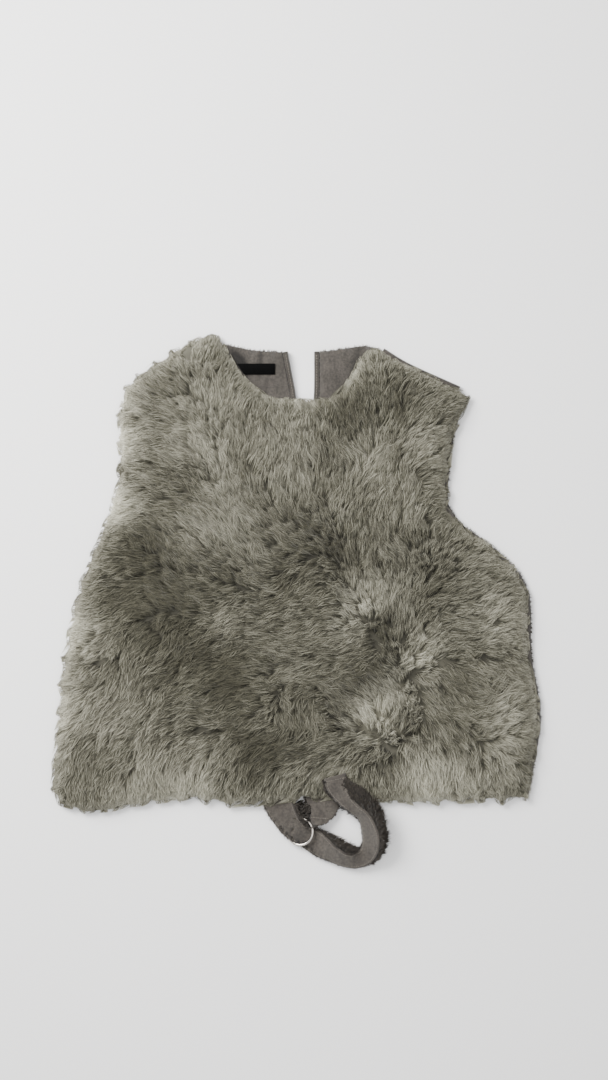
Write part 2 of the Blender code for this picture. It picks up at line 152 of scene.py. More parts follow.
class NodeForm:
    """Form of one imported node, read from a merged copy of its mesh."""

    def __init__(self, node: str) -> None:
        """Copy and merge the node's mesh.

        Args:
            node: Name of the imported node.
        """
        self.shape = bmesh.new()
        self.shape.from_mesh(frame["nodes"][node].data)
        bmesh.ops.remove_doubles(self.shape, verts=self.shape.verts[:], dist=MERGE_GAP)
        self.shape.normal_update()
        self.tree = BVHTree.FromBMesh(self.shape)

    def top(self, x: float, y: float) -> float | None:
        """Return the height of the node's upper side at a place, or None beside it."""
        hit = self.tree.ray_cast(Vector((x, y, RAY_HEIGHT)), Vector((0.0, 0.0, -1.0)))[0]
        return None if hit is None else hit.z

    def faces(self, name: str, keep: FaceTest = lambda face: True) -> Mesh:
        """Return a mesh of the node's faces, or of those that pass a test.

        Args:
            name: Name of the new mesh.
            keep: Test of one face.

        Returns:
            The mesh of the faces that stay.
        """
        part = self.shape.copy()
        part.normal_update()
        dropped = [face for face in part.faces if not keep(face)]
        bmesh.ops.delete(part, geom=dropped, context="FACES")
        mesh = bpy.data.meshes.new(name)
        part.to_mesh(mesh)
        part.free()
        return mesh

    def border(self) -> np.ndarray:
        """Return the border of the flat underside, as lines from corner to corner."""
        lines = []
        for edge in self.shape.edges:
            down = [face.normal.z < -0.9 for face in edge.link_faces]
            if down.count(True) == 1:
                lines.append([vert.co.to_2d()[:] for vert in edge.verts])
        return np.array(lines)


def as_object(name: str, mesh: Mesh) -> Object:
    """Link a mesh to the scene as an object at the origin."""
    item = bpy.data.objects.new(name, mesh)
    bpy.context.scene.collection.objects.link(item)
    return item


def smoothen(mesh: Mesh) -> None:
    """Let all the faces of a mesh shade as one surface."""
    mesh.polygons.foreach_set("use_smooth", [True] * len(mesh.polygons))


def mesh_of(name: str, points: list, faces: list, smooth: bool = True) -> Mesh:
    """Make a mesh from its points and faces.

    Args:
        name: Name of the mesh.
        points: Places of the points.
        faces: Point numbers of each face.
        smooth: Whether the faces shade as one surface.

    Returns:
        The mesh.
    """
    mesh = bpy.data.meshes.new(name)
    mesh.from_pydata([tuple(point) for point in points], [], faces)
    if smooth:
        smoothen(mesh)
    mesh.update()
    return mesh


@contextmanager
def edited(mesh: Mesh) -> Iterator[bmesh.types.BMesh]:
    """Open a mesh for changes to its points and faces, and write them back.

    Args:
        mesh: The mesh to change.

    Yields:
        The open form of the mesh.
    """
    shape = bmesh.new()
    shape.from_mesh(mesh)
    yield shape
    shape.to_mesh(mesh)
    shape.free()


def tube(rows: int, sides: int, endless: bool = False) -> list[tuple[int, ...]]:
    """Return the faces round a tube through rows of points.

    Args:
        rows: How many rows of points the tube has.
        sides: How many points there are in each row.
        endless: Whether the last row joins the first.

    Returns:
        The point numbers of each face, without the tube's ends.
    """
    faces, count = [], rows * sides
    for row in range(rows if endless else rows - 1):
        for side in range(sides):
            a, b = row * sides + side, row * sides + (side + 1) % sides
            faces.append((a, b, (b + sides) % count, (a + sides) % count))
    return faces


def tube_ends(rows: int, sides: int) -> list[tuple[int, ...]]:
    """Return the two flat ends of a tube through rows of points."""
    return [tuple(range(sides))[::-1], tuple(range((rows - 1) * sides, rows * sides))]


def evaluated(item: Object, name: str) -> Mesh:
    """Turn what an object's modifiers make into a mesh, and take them off it.

    Args:
        item: Object with its modifiers set.
        name: Name of the mesh.

    Returns:
        The mesh that they make.
    """
    graph = bpy.context.evaluated_depsgraph_get()
    mesh = bpy.data.meshes.new_from_object(
        item.evaluated_get(graph), preserve_all_data_layers=True, depsgraph=graph
    )
    item.modifiers.clear()
    mesh.name = name
    return mesh


def hand_over(piece: Object, slot: str, *nodes: str) -> Object:
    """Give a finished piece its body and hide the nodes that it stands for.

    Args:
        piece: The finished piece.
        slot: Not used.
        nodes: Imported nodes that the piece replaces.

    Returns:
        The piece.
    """
    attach(piece, BODY)
    if nodes:
        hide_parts(*nodes)
    piece.data.calc_loop_triangles()
    LOG.info("%s: %d triangles", piece.name, len(piece.data.loop_triangles))
    return piece


class TreeBench:
    """Adds nodes to one tree and joins their sockets."""

    def __init__(self, tree: bpy.types.NodeTree) -> None:
        """Keep the tree to work on."""
        self.tree = tree

    def add(self, kind: str, inputs: dict | None = None, **settings: object) -> bpy.types.Node:
        """Add a node.

        Args:
            kind: The node's type.
            inputs: Values or sockets for its inputs, by name or number.
            settings: Values of the node's own options.

        Returns:
            The new node.
        """
        node = self.tree.nodes.new(kind)
        for name, value in settings.items():
            setattr(node, name, value)
        for key, value in (inputs or {}).items():
            if isinstance(value, Socket):
                self.tree.links.new(value, node.inputs[key])
            else:
                node.inputs[key].default_value = value
        return node

    def maths(self, operation: str, *values: object) -> Socket:
        """Add a sum of one, two or three values and return its result."""
        return self.add("ShaderNodeMath", dict(enumerate(values)), operation=operation).outputs[0]

    def parts(self, vector: Socket) -> list[Socket]:
        """Return a vector's X, Y and Z."""
        return list(self.add("ShaderNodeSeparateXYZ", {0: vector}).outputs)

    def joined(self, x: object, y: object, z: object) -> Socket:
        """Return the vector of three values."""
        return self.add("ShaderNodeCombineXYZ", {0: x, 1: y, 2: z}).outputs[0]

    def vectors(self, operation: str, *values: object) -> Socket:
        """Add a sum of vectors and return its result, or their length."""
        places = (0, 3) if operation == "SCALE" else (0, 1)
        node = self.add("ShaderNodeVectorMath", dict(zip(places, values)), operation=operation)
        return node.outputs[1 if operation == "LENGTH" else 0]

    def noise(self, at: Socket, scale: float, detail: float = 2.0) -> Socket:
        """Return soft noise of a pitch."""
        inputs = {"Vector": at, "Scale": scale, "Detail": detail}
        return self.add("ShaderNodeTexNoise", inputs).outputs[0]


class GrowthTree(TreeBench):
    """Geometry tree with named inputs, made for one kind of repeat."""

    def __init__(self, name: str, kinds: dict[str, str], numbers: tuple[str, ...]) -> None:
        """Make the tree and its sockets.

        Args:
            name: Name of the tree.
            kinds: Socket kind of each input that isn't a plain number.
            numbers: Names of the inputs that are plain numbers.
        """
        super().__init__(bpy.data.node_groups.new(name, "GeometryNodeTree"))
        sockets = self.tree.interface
        sockets.new_socket("Geometry", in_out="OUTPUT", socket_type="NodeSocketGeometry")
        sockets.new_socket("Geometry", in_out="INPUT", socket_type="NodeSocketGeometry")
        for label, kind in (kinds | dict.fromkeys(numbers, "Float")).items():
            sockets.new_socket(label, in_out="INPUT", socket_type="NodeSocket" + kind)
        self.given = self.add("NodeGroupInput").outputs

    def random(self, low: float, high: float, seed: int) -> Socket:
        """Return a random number between two values, the same ones each time."""
        return self.add("FunctionNodeRandomValue", {2: low, 3: high, 8: seed}).outputs[1]

    def mark(self, name: str, kind: str = "FLOAT") -> Socket:
        """Return the values of a named attribute."""
        return self.add("GeometryNodeInputNamedAttribute", {0: name}, data_type=kind).outputs[0]

    def store(
        self, skin: Socket, name: str, value: Socket, kind: str = "FLOAT", domain: str = "POINT"
    ) -> Socket:
        """Write a named attribute and return the geometry that holds it."""
        inputs = {"Geometry": skin, "Name": name, "Value": value}
        settings = {"data_type": kind, "domain": domain}
        return self.add("GeometryNodeStoreNamedAttribute", inputs, **settings).outputs[0]

    def close(self, geometry: Socket, finish: Socket) -> None:
        """End the tree with its material.

        Args:
            geometry: The realized geometry.
            finish: Socket of the material.
        """
        dressed = self.add("GeometryNodeSetMaterial", {"Geometry": geometry, "Material": finish})
        self.add("NodeGroupOutput", {0: dressed.outputs[0]})

    def locks(self, roots: Socket, turn: Socket, size: Socket, seed: int) -> Socket:
        """Put locks of random kinds on their roots.

        Args:
            roots: Points that the locks stand on.
            turn: Rotation of each lock.
            size: Scale of each lock.
            seed: Seed of the choice of kinds.

        Returns:
            The locks, not yet realized.
        """
        inputs = {4: 0, 5: self.given["Kinds"], 8: seed}
        kind = self.add("FunctionNodeRandomValue", inputs, data_type="INT").outputs[2]
        inputs = {0: self.given["Lock shapes"], 1: True, 2: True}
        shapes = self.add("GeometryNodeCollectionInfo", inputs).outputs[0]
        inputs = {
            "Points": roots,
            "Instance": shapes,
            "Pick Instance": True,
            "Instance Index": kind,
            "Rotation": turn,
            "Scale": size,
        }
        return self.add("GeometryNodeInstanceOnPoints", inputs).outputs[0]

    def strands(self, locks: Socket, *marks: str) -> Socket:
        """Realize locks without the marks of their base."""
        for name in marks:
            locks = self.add("GeometryNodeRemoveAttribute", {0: locks, 1: name}).outputs[0]
        return self.add("GeometryNodeRealizeInstances", {0: locks}).outputs[0]

    def close_strands(self, strands: Socket, *marks: str) -> None:
        """End the tree with each strand's tone and length on its map.

        Args:
            strands: The realized strands.
            marks: Names of the marks that are added to a strand's own tone.
        """
        tone, along, _ = self.parts(self.mark(STRAND_MAP, "FLOAT_VECTOR"))
        for name in marks:
            tone = self.maths("ADD", tone, self.mark(name))
        low, high = TONE_LIMITS
        tone = self.maths("MINIMUM", self.maths("MAXIMUM", tone, low), high)
        strands = self.store(strands, STRAND_MAP, self.joined(tone, along, 0.0), "FLOAT2", "CORNER")
        self.close(strands, self.given["Finish"])

    def grow(self, base: Object, name: str, values: dict[str, object]) -> Object:
        """Run the tree on a base and return the result as a plain object.

        Args:
            base: Object that the tree starts from.
            name: Name of the result.
            values: Values of the named inputs.

        Returns:
            A new object with the grown mesh.
        """
        modifier = base.modifiers.new("growth", "NODES")
        modifier.node_group = self.tree
        for socket in self.tree.interface.items_tree:
            if socket.in_out == "INPUT" and socket.name in values:
                modifier[socket.identifier] = values[socket.name]
        mesh = evaluated(base, name)
        for mark in [mark.name for mark in mesh.attributes if mark.name in GROWTH_MARKS]:
            mesh.attributes.remove(mesh.attributes[mark])
        return as_object(name, mesh)


class SurfaceBench(TreeBench):
    """Material tree around one Principled surface."""

    def __init__(self, name: str, roughness: float, **fixed: float) -> None:
        """Make the material.

        Args:
            name: Name of the material.
            roughness: Roughness all over.
            fixed: Other values set on the surface's own sockets, underscores for spaces.
        """
        self.material = bpy.data.materials.new(name)
        self.material.use_nodes = True
        super().__init__(self.material.node_tree)
        self.surface = self.tree.nodes["Principled BSDF"]
        self.surface.inputs["Roughness"].default_value = roughness
        for label, value in fixed.items():
            self.surface.inputs[label.replace("_", " ")].default_value = value

    def place(self) -> Socket:
        """Return the object's own coordinates."""
        return self.add("ShaderNodeTexCoord").outputs["Object"]

    def stretched(self, at: Socket, turn: float, scale: tuple[float, float, float]) -> Socket:
        """Return coordinates turned about Z and scaled."""
        inputs = {"Vector": at, "Rotation": (0.0, 0.0, turn), "Scale": scale}
        return self.add("ShaderNodeMapping", inputs).outputs[0]

    def ramp(self, share: Socket, *stops: tuple[float, Colour]) -> Socket:
        """Look up a colour on a row of colours.

        Args:
            share: Place on the row, from 0 to 1.
            stops: Place and colour of each stop.

        Returns:
            The colour at that share.
        """
        node = self.add("ShaderNodeValToRGB", {0: share})
        bar = node.color_ramp.elements
        while len(bar) < len(stops):
            bar.new(0.5)
        for element, (place, colour) in zip(bar, stops):
            element.position, element.color = place, colour
        return node.outputs[0]

    def blend(self, share: object, first: object, second: object, kind: str = "MIX") -> Socket:
        """Return the mix of two colours."""
        inputs = {0: share, 6: first, 7: second}
        return self.add("ShaderNodeMix", inputs, data_type="RGBA", blend_type=kind).outputs[2]

    def bump(self, height: Socket, depth: float, strength: float = 1.0) -> None:
        """Raise the surface by a height in metres."""
        inputs = {"Height": height, "Distance": depth, "Strength": strength}
        node = self.add("ShaderNodeBump", inputs)
        self.tree.links.new(node.outputs[0], self.surface.inputs["Normal"])

    def times(self, first: object, second: object) -> Socket:
        """Return the product of two colours."""
        return self.blend(1.0, first, second, "MULTIPLY")

    def colour(self, socket: Socket) -> None:
        """Feed the surface's colour."""
        self.tree.links.new(socket, self.surface.inputs["Base Color"])


@dataclass(frozen=True)
class PileFinish:
    """Pile whose colour runs from root to tip, between a deep and a pale tone."""

    name: str
    deep: tuple[Colour, Colour, Colour]
    pale: tuple[Colour, Colour, Colour]
    roughness: float = 0.62
    sheen: float = 0.25
    middle: float = 0.52

    def material(self) -> bpy.types.Material:
        """Return the material, which reads tone and length from the strands' own map."""
        bench = SurfaceBench(
            self.name,
            self.roughness,
            Sheen_Weight=self.sheen,
            Sheen_Roughness=0.5,
            Specular_IOR_Level=0.3,
        )
        strand = bench.add("ShaderNodeUVMap", uv_map=STRAND_MAP).outputs[0]
        tone, along, _ = bench.parts(strand)
        deep, pale = (
            bench.ramp(along, *zip((0.0, self.middle, 1.0), row)) for row in (self.deep, self.pale)
        )
        bench.colour(bench.blend(tone, deep, pale))
        return bench.material


@dataclass(frozen=True)
class SuedeFinish:
    """Brushed suede with a mottled nap."""

    name: str
    base: Colour
    brushed: Colour
    worn: Colour
    grain: float = 1500.0
    mottle: float = 420.0

    def material(self) -> bpy.types.Material:
        """Return the material, patterned on the object's own coordinates."""
        bench = SurfaceBench(
            self.name, 0.9, Sheen_Weight=0.2, Sheen_Roughness=0.6, Specular_IOR_Level=0.2
        )
        place = bench.place()
        cloud = bench.noise(place, 55.0, 4.0)
        strokes = bench.noise(bench.stretched(place, 0.5, (260.0, 60.0, 200.0)), 1.0, 3.0)
        nap = bench.noise(place, self.grain, 3.0)
        mottle = bench.noise(place, self.mottle, 4.0)
        soft = bench.ramp(cloud, (0.34, self.base), (0.68, self.brushed))
        worn = bench.ramp(strokes, (0.45, grey(0.0)), (0.75, grey(1.0)))
        share = bench.maths("MULTIPLY", worn, 0.4)
        dust = bench.ramp(nap, (0.3, grey(0.84)), (0.7, grey(1.12)))
        rubbed = bench.ramp(
            mottle, (0.36, (0.74, 0.74, 0.75, 1.0)), (0.64, (1.22, 1.21, 1.19, 1.0))
        )
        brushed = bench.times(bench.times(bench.blend(share, soft, self.worn), dust), rubbed)
        # Painted shade: the suede darkens along the back panels' creases, by the attribute that
        # they write.
        valley = bench.add("ShaderNodeAttribute", attribute_name="valley").outputs["Fac"]
        folded = bench.ramp(valley, (0.0, grey(1.0)), (1.0, (0.16, 0.15, 0.15, 1.0)))
        bench.colour(bench.times(brushed, folded))
        height = bench.maths("MULTIPLY_ADD", strokes, 0.8, bench.maths("ADD", nap, mottle))
        bench.bump(height, 0.4 * MM, 0.9)
        return bench.material


@dataclass(frozen=True)
class WovenFinish:
    """Fine satin weave."""

    name: str
    thread: Colour
    gap: Colour
    pitch: float = 0.5 * MM
    roughness: float = 0.6
    gloss: float = 0.3
    sheen: float = 0.15

    def material(self) -> bpy.types.Material:
        """Return the material, with threads both ways on the object's own coordinates."""
        bench = SurfaceBench(
            self.name,
            self.roughness,
            Sheen_Weight=self.sheen,
            Sheen_Roughness=0.5,
            Specular_IOR_Level=self.gloss,
        )
        x, y, _ = bench.parts(bench.place())
        turn = 2.0 * math.pi / self.pitch
        across = bench.maths("SINE", bench.maths("MULTIPLY", x, turn))
        along = bench.maths("SINE", bench.maths("MULTIPLY", y, turn * 1.6))
        height = bench.maths("MULTIPLY_ADD", bench.maths("MULTIPLY", across, along), 0.5, 0.5)
        bench.colour(bench.ramp(height, (0.0, self.gap), (1.0, self.thread)))
        bench.bump(height, 0.08 * MM, 0.7)
        return bench.material


@dataclass(frozen=True)
class MetalFinish:
    """Polished metal with hairline scratches."""

    name: str
    colour: Colour
    roughness: float = 0.16

    def material(self) -> bpy.types.Material:
        """Return the material, with scratches in its roughness and relief."""
        bench = SurfaceBench(self.name, self.roughness, Metallic=1.0)
        place = bench.place()
        cloud = bench.noise(place, 180.0, 3.0)
        hair = bench.noise(bench.stretched(place, 0.7, (3000.0, 250.0, 2500.0)), 1.0, 2.0)
        bench.colour(bench.ramp(cloud, (0.35, dimmed(self.colour, 0.82)), (0.6, self.colour)))
        low, high = self.roughness - 0.04, self.roughness + 0.12
        wear = bench.add("ShaderNodeMapRange", {0: hair, 1: 0.35, 2: 0.75, 3: low, 4: high})
        bench.tree.links.new(wear.outputs[0], bench.surface.inputs["Roughness"])
        bench.bump(hair, 0.02 * MM, 0.4)
        return bench.material


@dataclass(frozen=True)
class ThreadFinish:
    """Twisted sewing thread."""

    name: str
    colour: Colour
    shade: Colour

    def material(self) -> bpy.types.Material:
        """Return the material, with its twist as fine bands."""
        bench = SurfaceBench(self.name, 0.7, Sheen_Weight=0.2, Sheen_Roughness=0.5)
        twist = bench.noise(bench.stretched(bench.place(), 0.8, (4500.0, 1200.0, 3000.0)), 1.0)
        bench.colour(bench.ramp(twist, (0.35, self.shade), (0.6, self.colour)))
        bench.bump(twist, 0.06 * MM, 0.6)
        return bench.material


@dataclass(frozen=True)
class FloorFinish:
    """Plain pale floor."""

    name: str
    colour: Colour

    def material(self) -> bpy.types.Material:
        """Return the material, with a hardly seen cloudiness."""
        bench = SurfaceBench(self.name, 0.95, Specular_IOR_Level=0.1)
        cloud = bench.noise(bench.place(), 3.0)
        bench.colour(bench.ramp(cloud, (0.3, dimmed(self.colour, 0.99)), (0.7, self.colour)))
        return bench.material


class Finish(Enum):
    """Every finish of the garment and its floor."""

    LONG_PILE = PileFinish(
        "long_pile_strands",
        deep=(linear(38, 36, 27), linear(60, 58, 46), linear(84, 81, 66)),
        pale=(linear(100, 97, 82), linear(172, 169, 150), linear(226, 223, 204)),
    )
    SHORT_PILE = PileFinish(
        "short_pile_strands",
        deep=(linear(16, 14, 12), linear(36, 32, 28), linear(50, 46, 41)),
        pale=(linear(30, 27, 23), linear(60, 55, 49), linear(84, 78, 70)),
        sheen=0.1,
    )
    BACKING = WovenFinish(
        "pile_backing", linear(72, 68, 56), linear(48, 44, 36), pitch=1.6 * MM, roughness=0.9
    )
    SUEDE = SuedeFinish("brushed_suede", linear(59, 56, 52), linear(70, 66, 62), linear(49, 46, 43))
    EDGE = SuedeFinish("brushed_edge", linear(55, 52, 48), linear(65, 61, 57), linear(45, 42, 39))
    STRAP = SuedeFinish("brushed_strap", linear(62, 58, 54), linear(73, 69, 64), linear(50, 47, 44))
    LABEL = WovenFinish("satin_label", linear(9, 9, 10), linear(4, 4, 4), gloss=0.04, sheen=0.0)
    # Near-black painted shade for the pile folded in between the strap and the tab.
    SHADE = WovenFinish(
        "folded_backing",
        linear(22, 20, 18),
        linear(12, 11, 10),
        pitch=1.6 * MM,
        roughness=0.95,
        gloss=0.02,
        sheen=0.0,
    )
    RING = MetalFinish("ring_metal", (0.60, 0.56, 0.51, 1.0))
    THREAD = ThreadFinish("taupe_thread", linear(128, 121, 111), linear(96, 90, 82))
    FLOOR = FloorFinish("studio_floor", (0.93, 0.93, 0.93, 1.0))

    def material(self) -> bpy.types.Material:
        """Return the finish's material, made on its first use."""
        return bpy.data.materials.get(self.value.name) or self.value.material()

def finished(
    name: str,
    mesh: Mesh,
    finish: Finish,
    thickness: float = 0.0,
    rounding: float = 0.0,
    arris: float = 30.0,
) -> Object:
    """Make a piece of a mesh in its finish, thickened or with rounded arrises.

    Args:
        name: Name of the piece.
        mesh: Its mesh.
        finish: Its finish.
        thickness: How thick it gets below the mesh, or 0 to leave it.
        rounding: Radius of its rounded arrises, or 0 to leave them.
        arris: Least angle of an arris that is rounded, in degrees.

    Returns:
        The piece.
    """
    piece = as_object(name, mesh)
    if thickness:
        solid = piece.modifiers.new("thickness", "SOLIDIFY")
        solid.thickness, solid.offset = thickness, -1.0
        piece.data = evaluated(piece, name)
    if rounding:
        bevel = piece.modifiers.new("rounding", "BEVEL")
        bevel.width, bevel.segments, bevel.limit_method = rounding, 2, "ANGLE"
        bevel.angle_limit = math.radians(arris)
        piece.data = evaluated(piece, name)
        smoothen(piece.data)
    piece.data.materials.append(finish.material())
    return piece


def closed(name: str, points: list, faces: list, finish: Finish) -> Object:
    """Make a piece of a closed form, with its faces turned outwards.

    Args:
        name: Name of the piece.
        points: Places of the points.
        faces: Point numbers of each face.
        finish: Finish of the piece.

    Returns:
        The piece.
    """
    mesh = mesh_of(name, points, faces)
    with edited(mesh) as shape:
        bmesh.ops.recalc_face_normals(shape, faces=shape.faces[:])
    return finished(name, mesh, finish)


class CombMark(NamedTuple):
    """Way that the pile's tips point at a place of the picture, in degrees from right to up."""

    x: float
    y: float
    heading: float
    reach: float = 24.0


class ToneMark(NamedTuple):
    """Paler (above 0) or deeper patch of pile, partly its own tone and partly painted sheen and
    shade, with its reach in pixels of the picture.
    """

    x: float
    y: float
    reach: float
    shift: float

COMB = [
    CombMark(*row)
    for row in (
        (178, 352, 125), (213, 347, 92), (150, 385, 150), (230, 372, 55), (246, 394, 60),
        (265, 404, 85), (300, 415, 90), (335, 415, 92), (211, 453, 95, 16), (225, 404, 95, 16),
        (170, 420, 150), (155, 455, 172), (190, 450, 160, 16), (128, 425, 186), (118, 505, 190),
        (281, 472, 92), (190, 510, 150, 16), (228, 533, 124, 16), (257, 526, 132, 14),
        (256, 556, 124, 16), (214, 561, 143, 16), (186, 557, 142, 14), (155, 548, 120, 12),
        (120, 560, 190, 18), (221, 592, 176, 12), (228, 608, 204, 12), (172, 595, 140, 14),
        (140, 578, 200, 14), (270, 537, 128, 14), (295, 570, 214, 14), (305, 547, 174, 14),
        (316, 535, 142, 12), (312, 494, 99, 14), (340, 507, 62, 12), (322, 580, 212, 14),
        (190, 606, 165, 14), (315, 597, 200, 18), (352, 576, 97, 14), (362, 545, 95, 14),
        (370, 366, 122), (400, 372, 52), (430, 380, 30), (452, 392, 12), (469, 402, 0, 14),
        (411, 415, 88, 14), (435, 435, 22, 18), (440, 470, 12, 18), (381, 466, 62, 16),
        (352, 448, 118, 16), (372, 425, 84, 18), (404, 500, 84, 14), (404, 536, 98, 14),
        (424, 525, 76, 12), (437, 507, 12, 12), (413, 554, 150, 12), (437, 554, 60, 12),
        (459, 578, 20, 12), (488, 573, 12, 14), (504, 569, 18, 14), (499, 602, 50, 12),
        (514, 594, 8, 12), (470, 548, 32, 16), (522, 605, 4, 14), (366, 598, 95, 12),
        (355, 609, 145, 10), (381, 607, 62, 10), (357, 642, 192, 12), (368, 652, 208, 10),
        (386, 578, 92, 14), (412, 613, 80, 12), (410, 634, 98, 10), (423, 642, 55, 10),
        (452, 627, 5, 14), (468, 645, 28, 12), (438, 600, 30, 12), (409, 651, 95, 10),
        (420, 655, 60, 8), (425, 664, 28, 9), (431, 676, 342, 10), (385, 689, 140, 12),
        (434, 691, 305, 12), (442, 702, 305, 12), (462, 664, 325, 14), (514, 673, 322, 12),
        (516, 694, 30, 10), (498, 704, 50, 12), (489, 722, 40, 12), (518, 722, 4, 12),
        (535, 690, 350, 12), (525, 742, 340, 12), (518, 767, 302, 14), (498, 753, 328, 12),
        (482, 774, 270, 12), (460, 778, 278, 14), (420, 785, 308, 12), (398, 767, 258, 12),
        (425, 758, 275, 14), (444, 731, 300, 14), (366, 718, 135, 10), (384, 713, 104, 10),
        (397, 727, 80, 10), (369, 745, 172, 10), (382, 760, 266, 10), (372, 757, 238, 10),
        (351, 749, 196, 12), (355, 704, 150, 12), (320, 640, 182, 18), (309, 667, 180, 16),
        (342, 655, 190, 12), (262, 704, 196, 12), (260, 689, 167, 12), (284, 708, 285, 10),
        (302, 716, 282, 12), (316, 749, 200, 14), (278, 742, 190, 14), (291, 771, 222, 12),
        (309, 778, 250, 12), (242, 767, 230, 14), (218, 767, 235, 14), (211, 742, 202, 14),
        (213, 718, 170, 12), (240, 713, 206, 12), (215, 662, 200, 12), (180, 640, 228, 18),
        (157, 690, 226), (90, 580, 195), (86, 625, 202), (121, 665, 262, 16), (93, 740, 238),
        (66, 700, 215), (72, 788, 262), (230, 790, 262), (276, 790, 250, 14), (150, 797, 264),
        (438, 794, 286), (370, 790, 270), (480, 796, 280),
    )
]

# Patches of the pile: its own tone, together with painted sheen where it catches the light and
# painted shade where it parts.
TONE_AND_PAINTED_LIGHT_MARKS = [
    ToneMark(*row)
    for row in (
        (128, 400, 14, 0.30), (121, 440, 12, 0.56), (118, 507, 14, 0.66), (98, 570, 14, 0.04),
        (78, 640, 18, 0.44), (64, 710, 18, 0.32), (98, 772, 18, -0.06), (120, 722, 16, 0.20),
        (155, 415, 24, 0.0), (205, 405, 26, 0.20), (211, 453, 12, 0.22), (281, 462, 20, 0.14),
        (208, 524, 24, 0.26), (250, 560, 16, 0.08), (190, 484, 18, -0.20), (174, 458, 14, 0.16),
        (143, 552, 24, -0.36), (158, 618, 24, -0.28), (114, 599, 13, -0.18), (208, 672, 32, -0.22),
        (233, 684, 16, -0.18), (318, 540, 26, -0.13), (332, 551, 10, -0.12), (304, 492, 16, 0.14),
        (346, 404, 20, -0.22), (400, 400, 12, -0.22), (362, 456, 16, 0.24), (340, 508, 11, 0.16),
        (428, 450, 16, 0.16), (410, 500, 18, 0.12), (448, 505, 12, -0.14), (366, 600, 15, 0.54),
        (350, 622, 14, 0.16), (384, 624, 12, -0.26), (371, 714, 15, 0.58), (386, 733, 13, 0.34),
        (387, 753, 9, -0.24), (424, 654, 14, 0.52), (426, 680, 10, -0.04), (382, 654, 20, -0.10),
        (404, 602, 17, 0.12), (455, 674, 20, -0.10), (500, 603, 18, 0.16), (515, 693, 11, 0.18),
        (528, 757, 12, -0.10), (538, 640, 12, -0.14), (462, 782, 30, 0.20), (505, 770, 14, 0.08),
        (226, 622, 14, 0.34), (262, 745, 14, -0.22), (246, 766, 17, -0.34), (215, 765, 26, 0.18),
        (297, 644, 22, 0.10), (320, 705, 16, -0.14), (332, 770, 20, -0.06), (300, 430, 20, 0.14),
        (450, 385, 16, -0.02), (300, 600, 80, -0.07), (225, 590, 34, -0.15), (397, 686, 15, 0.26),
        (216, 478, 15, 0.20), (422, 528, 24, -0.05), (227, 735, 18, -0.12), (404, 714, 12, -0.06),
        (452, 742, 20, -0.14), (511, 728, 15, 0.40), (176, 392, 18, -0.08), (345, 432, 17, -0.10),
        (140, 650, 60, -0.05), (438, 590, 15, -0.22), (364, 680, 14, -0.20), (296, 735, 18, -0.16),
        (420, 770, 16, 0.26), (506, 632, 14, 0.22), (150, 775, 16, 0.16), (142, 386, 14, -0.08),
        (135, 797, 16, 0.26), (190, 796, 18, 0.26), (430, 800, 20, 0.22),
    )
]


def far_off(places: np.ndarray, mark: CombMark | ToneMark) -> np.ndarray:
    """Return the square of each place's distance from a mark, counted in the mark's reach."""
    at = np.array(LAYOUT.pixel(mark.x, mark.y)[:2])
    return ((places - at) ** 2).sum(1) / (mark.reach * LAYOUT.pixel_mm * MM) ** 2


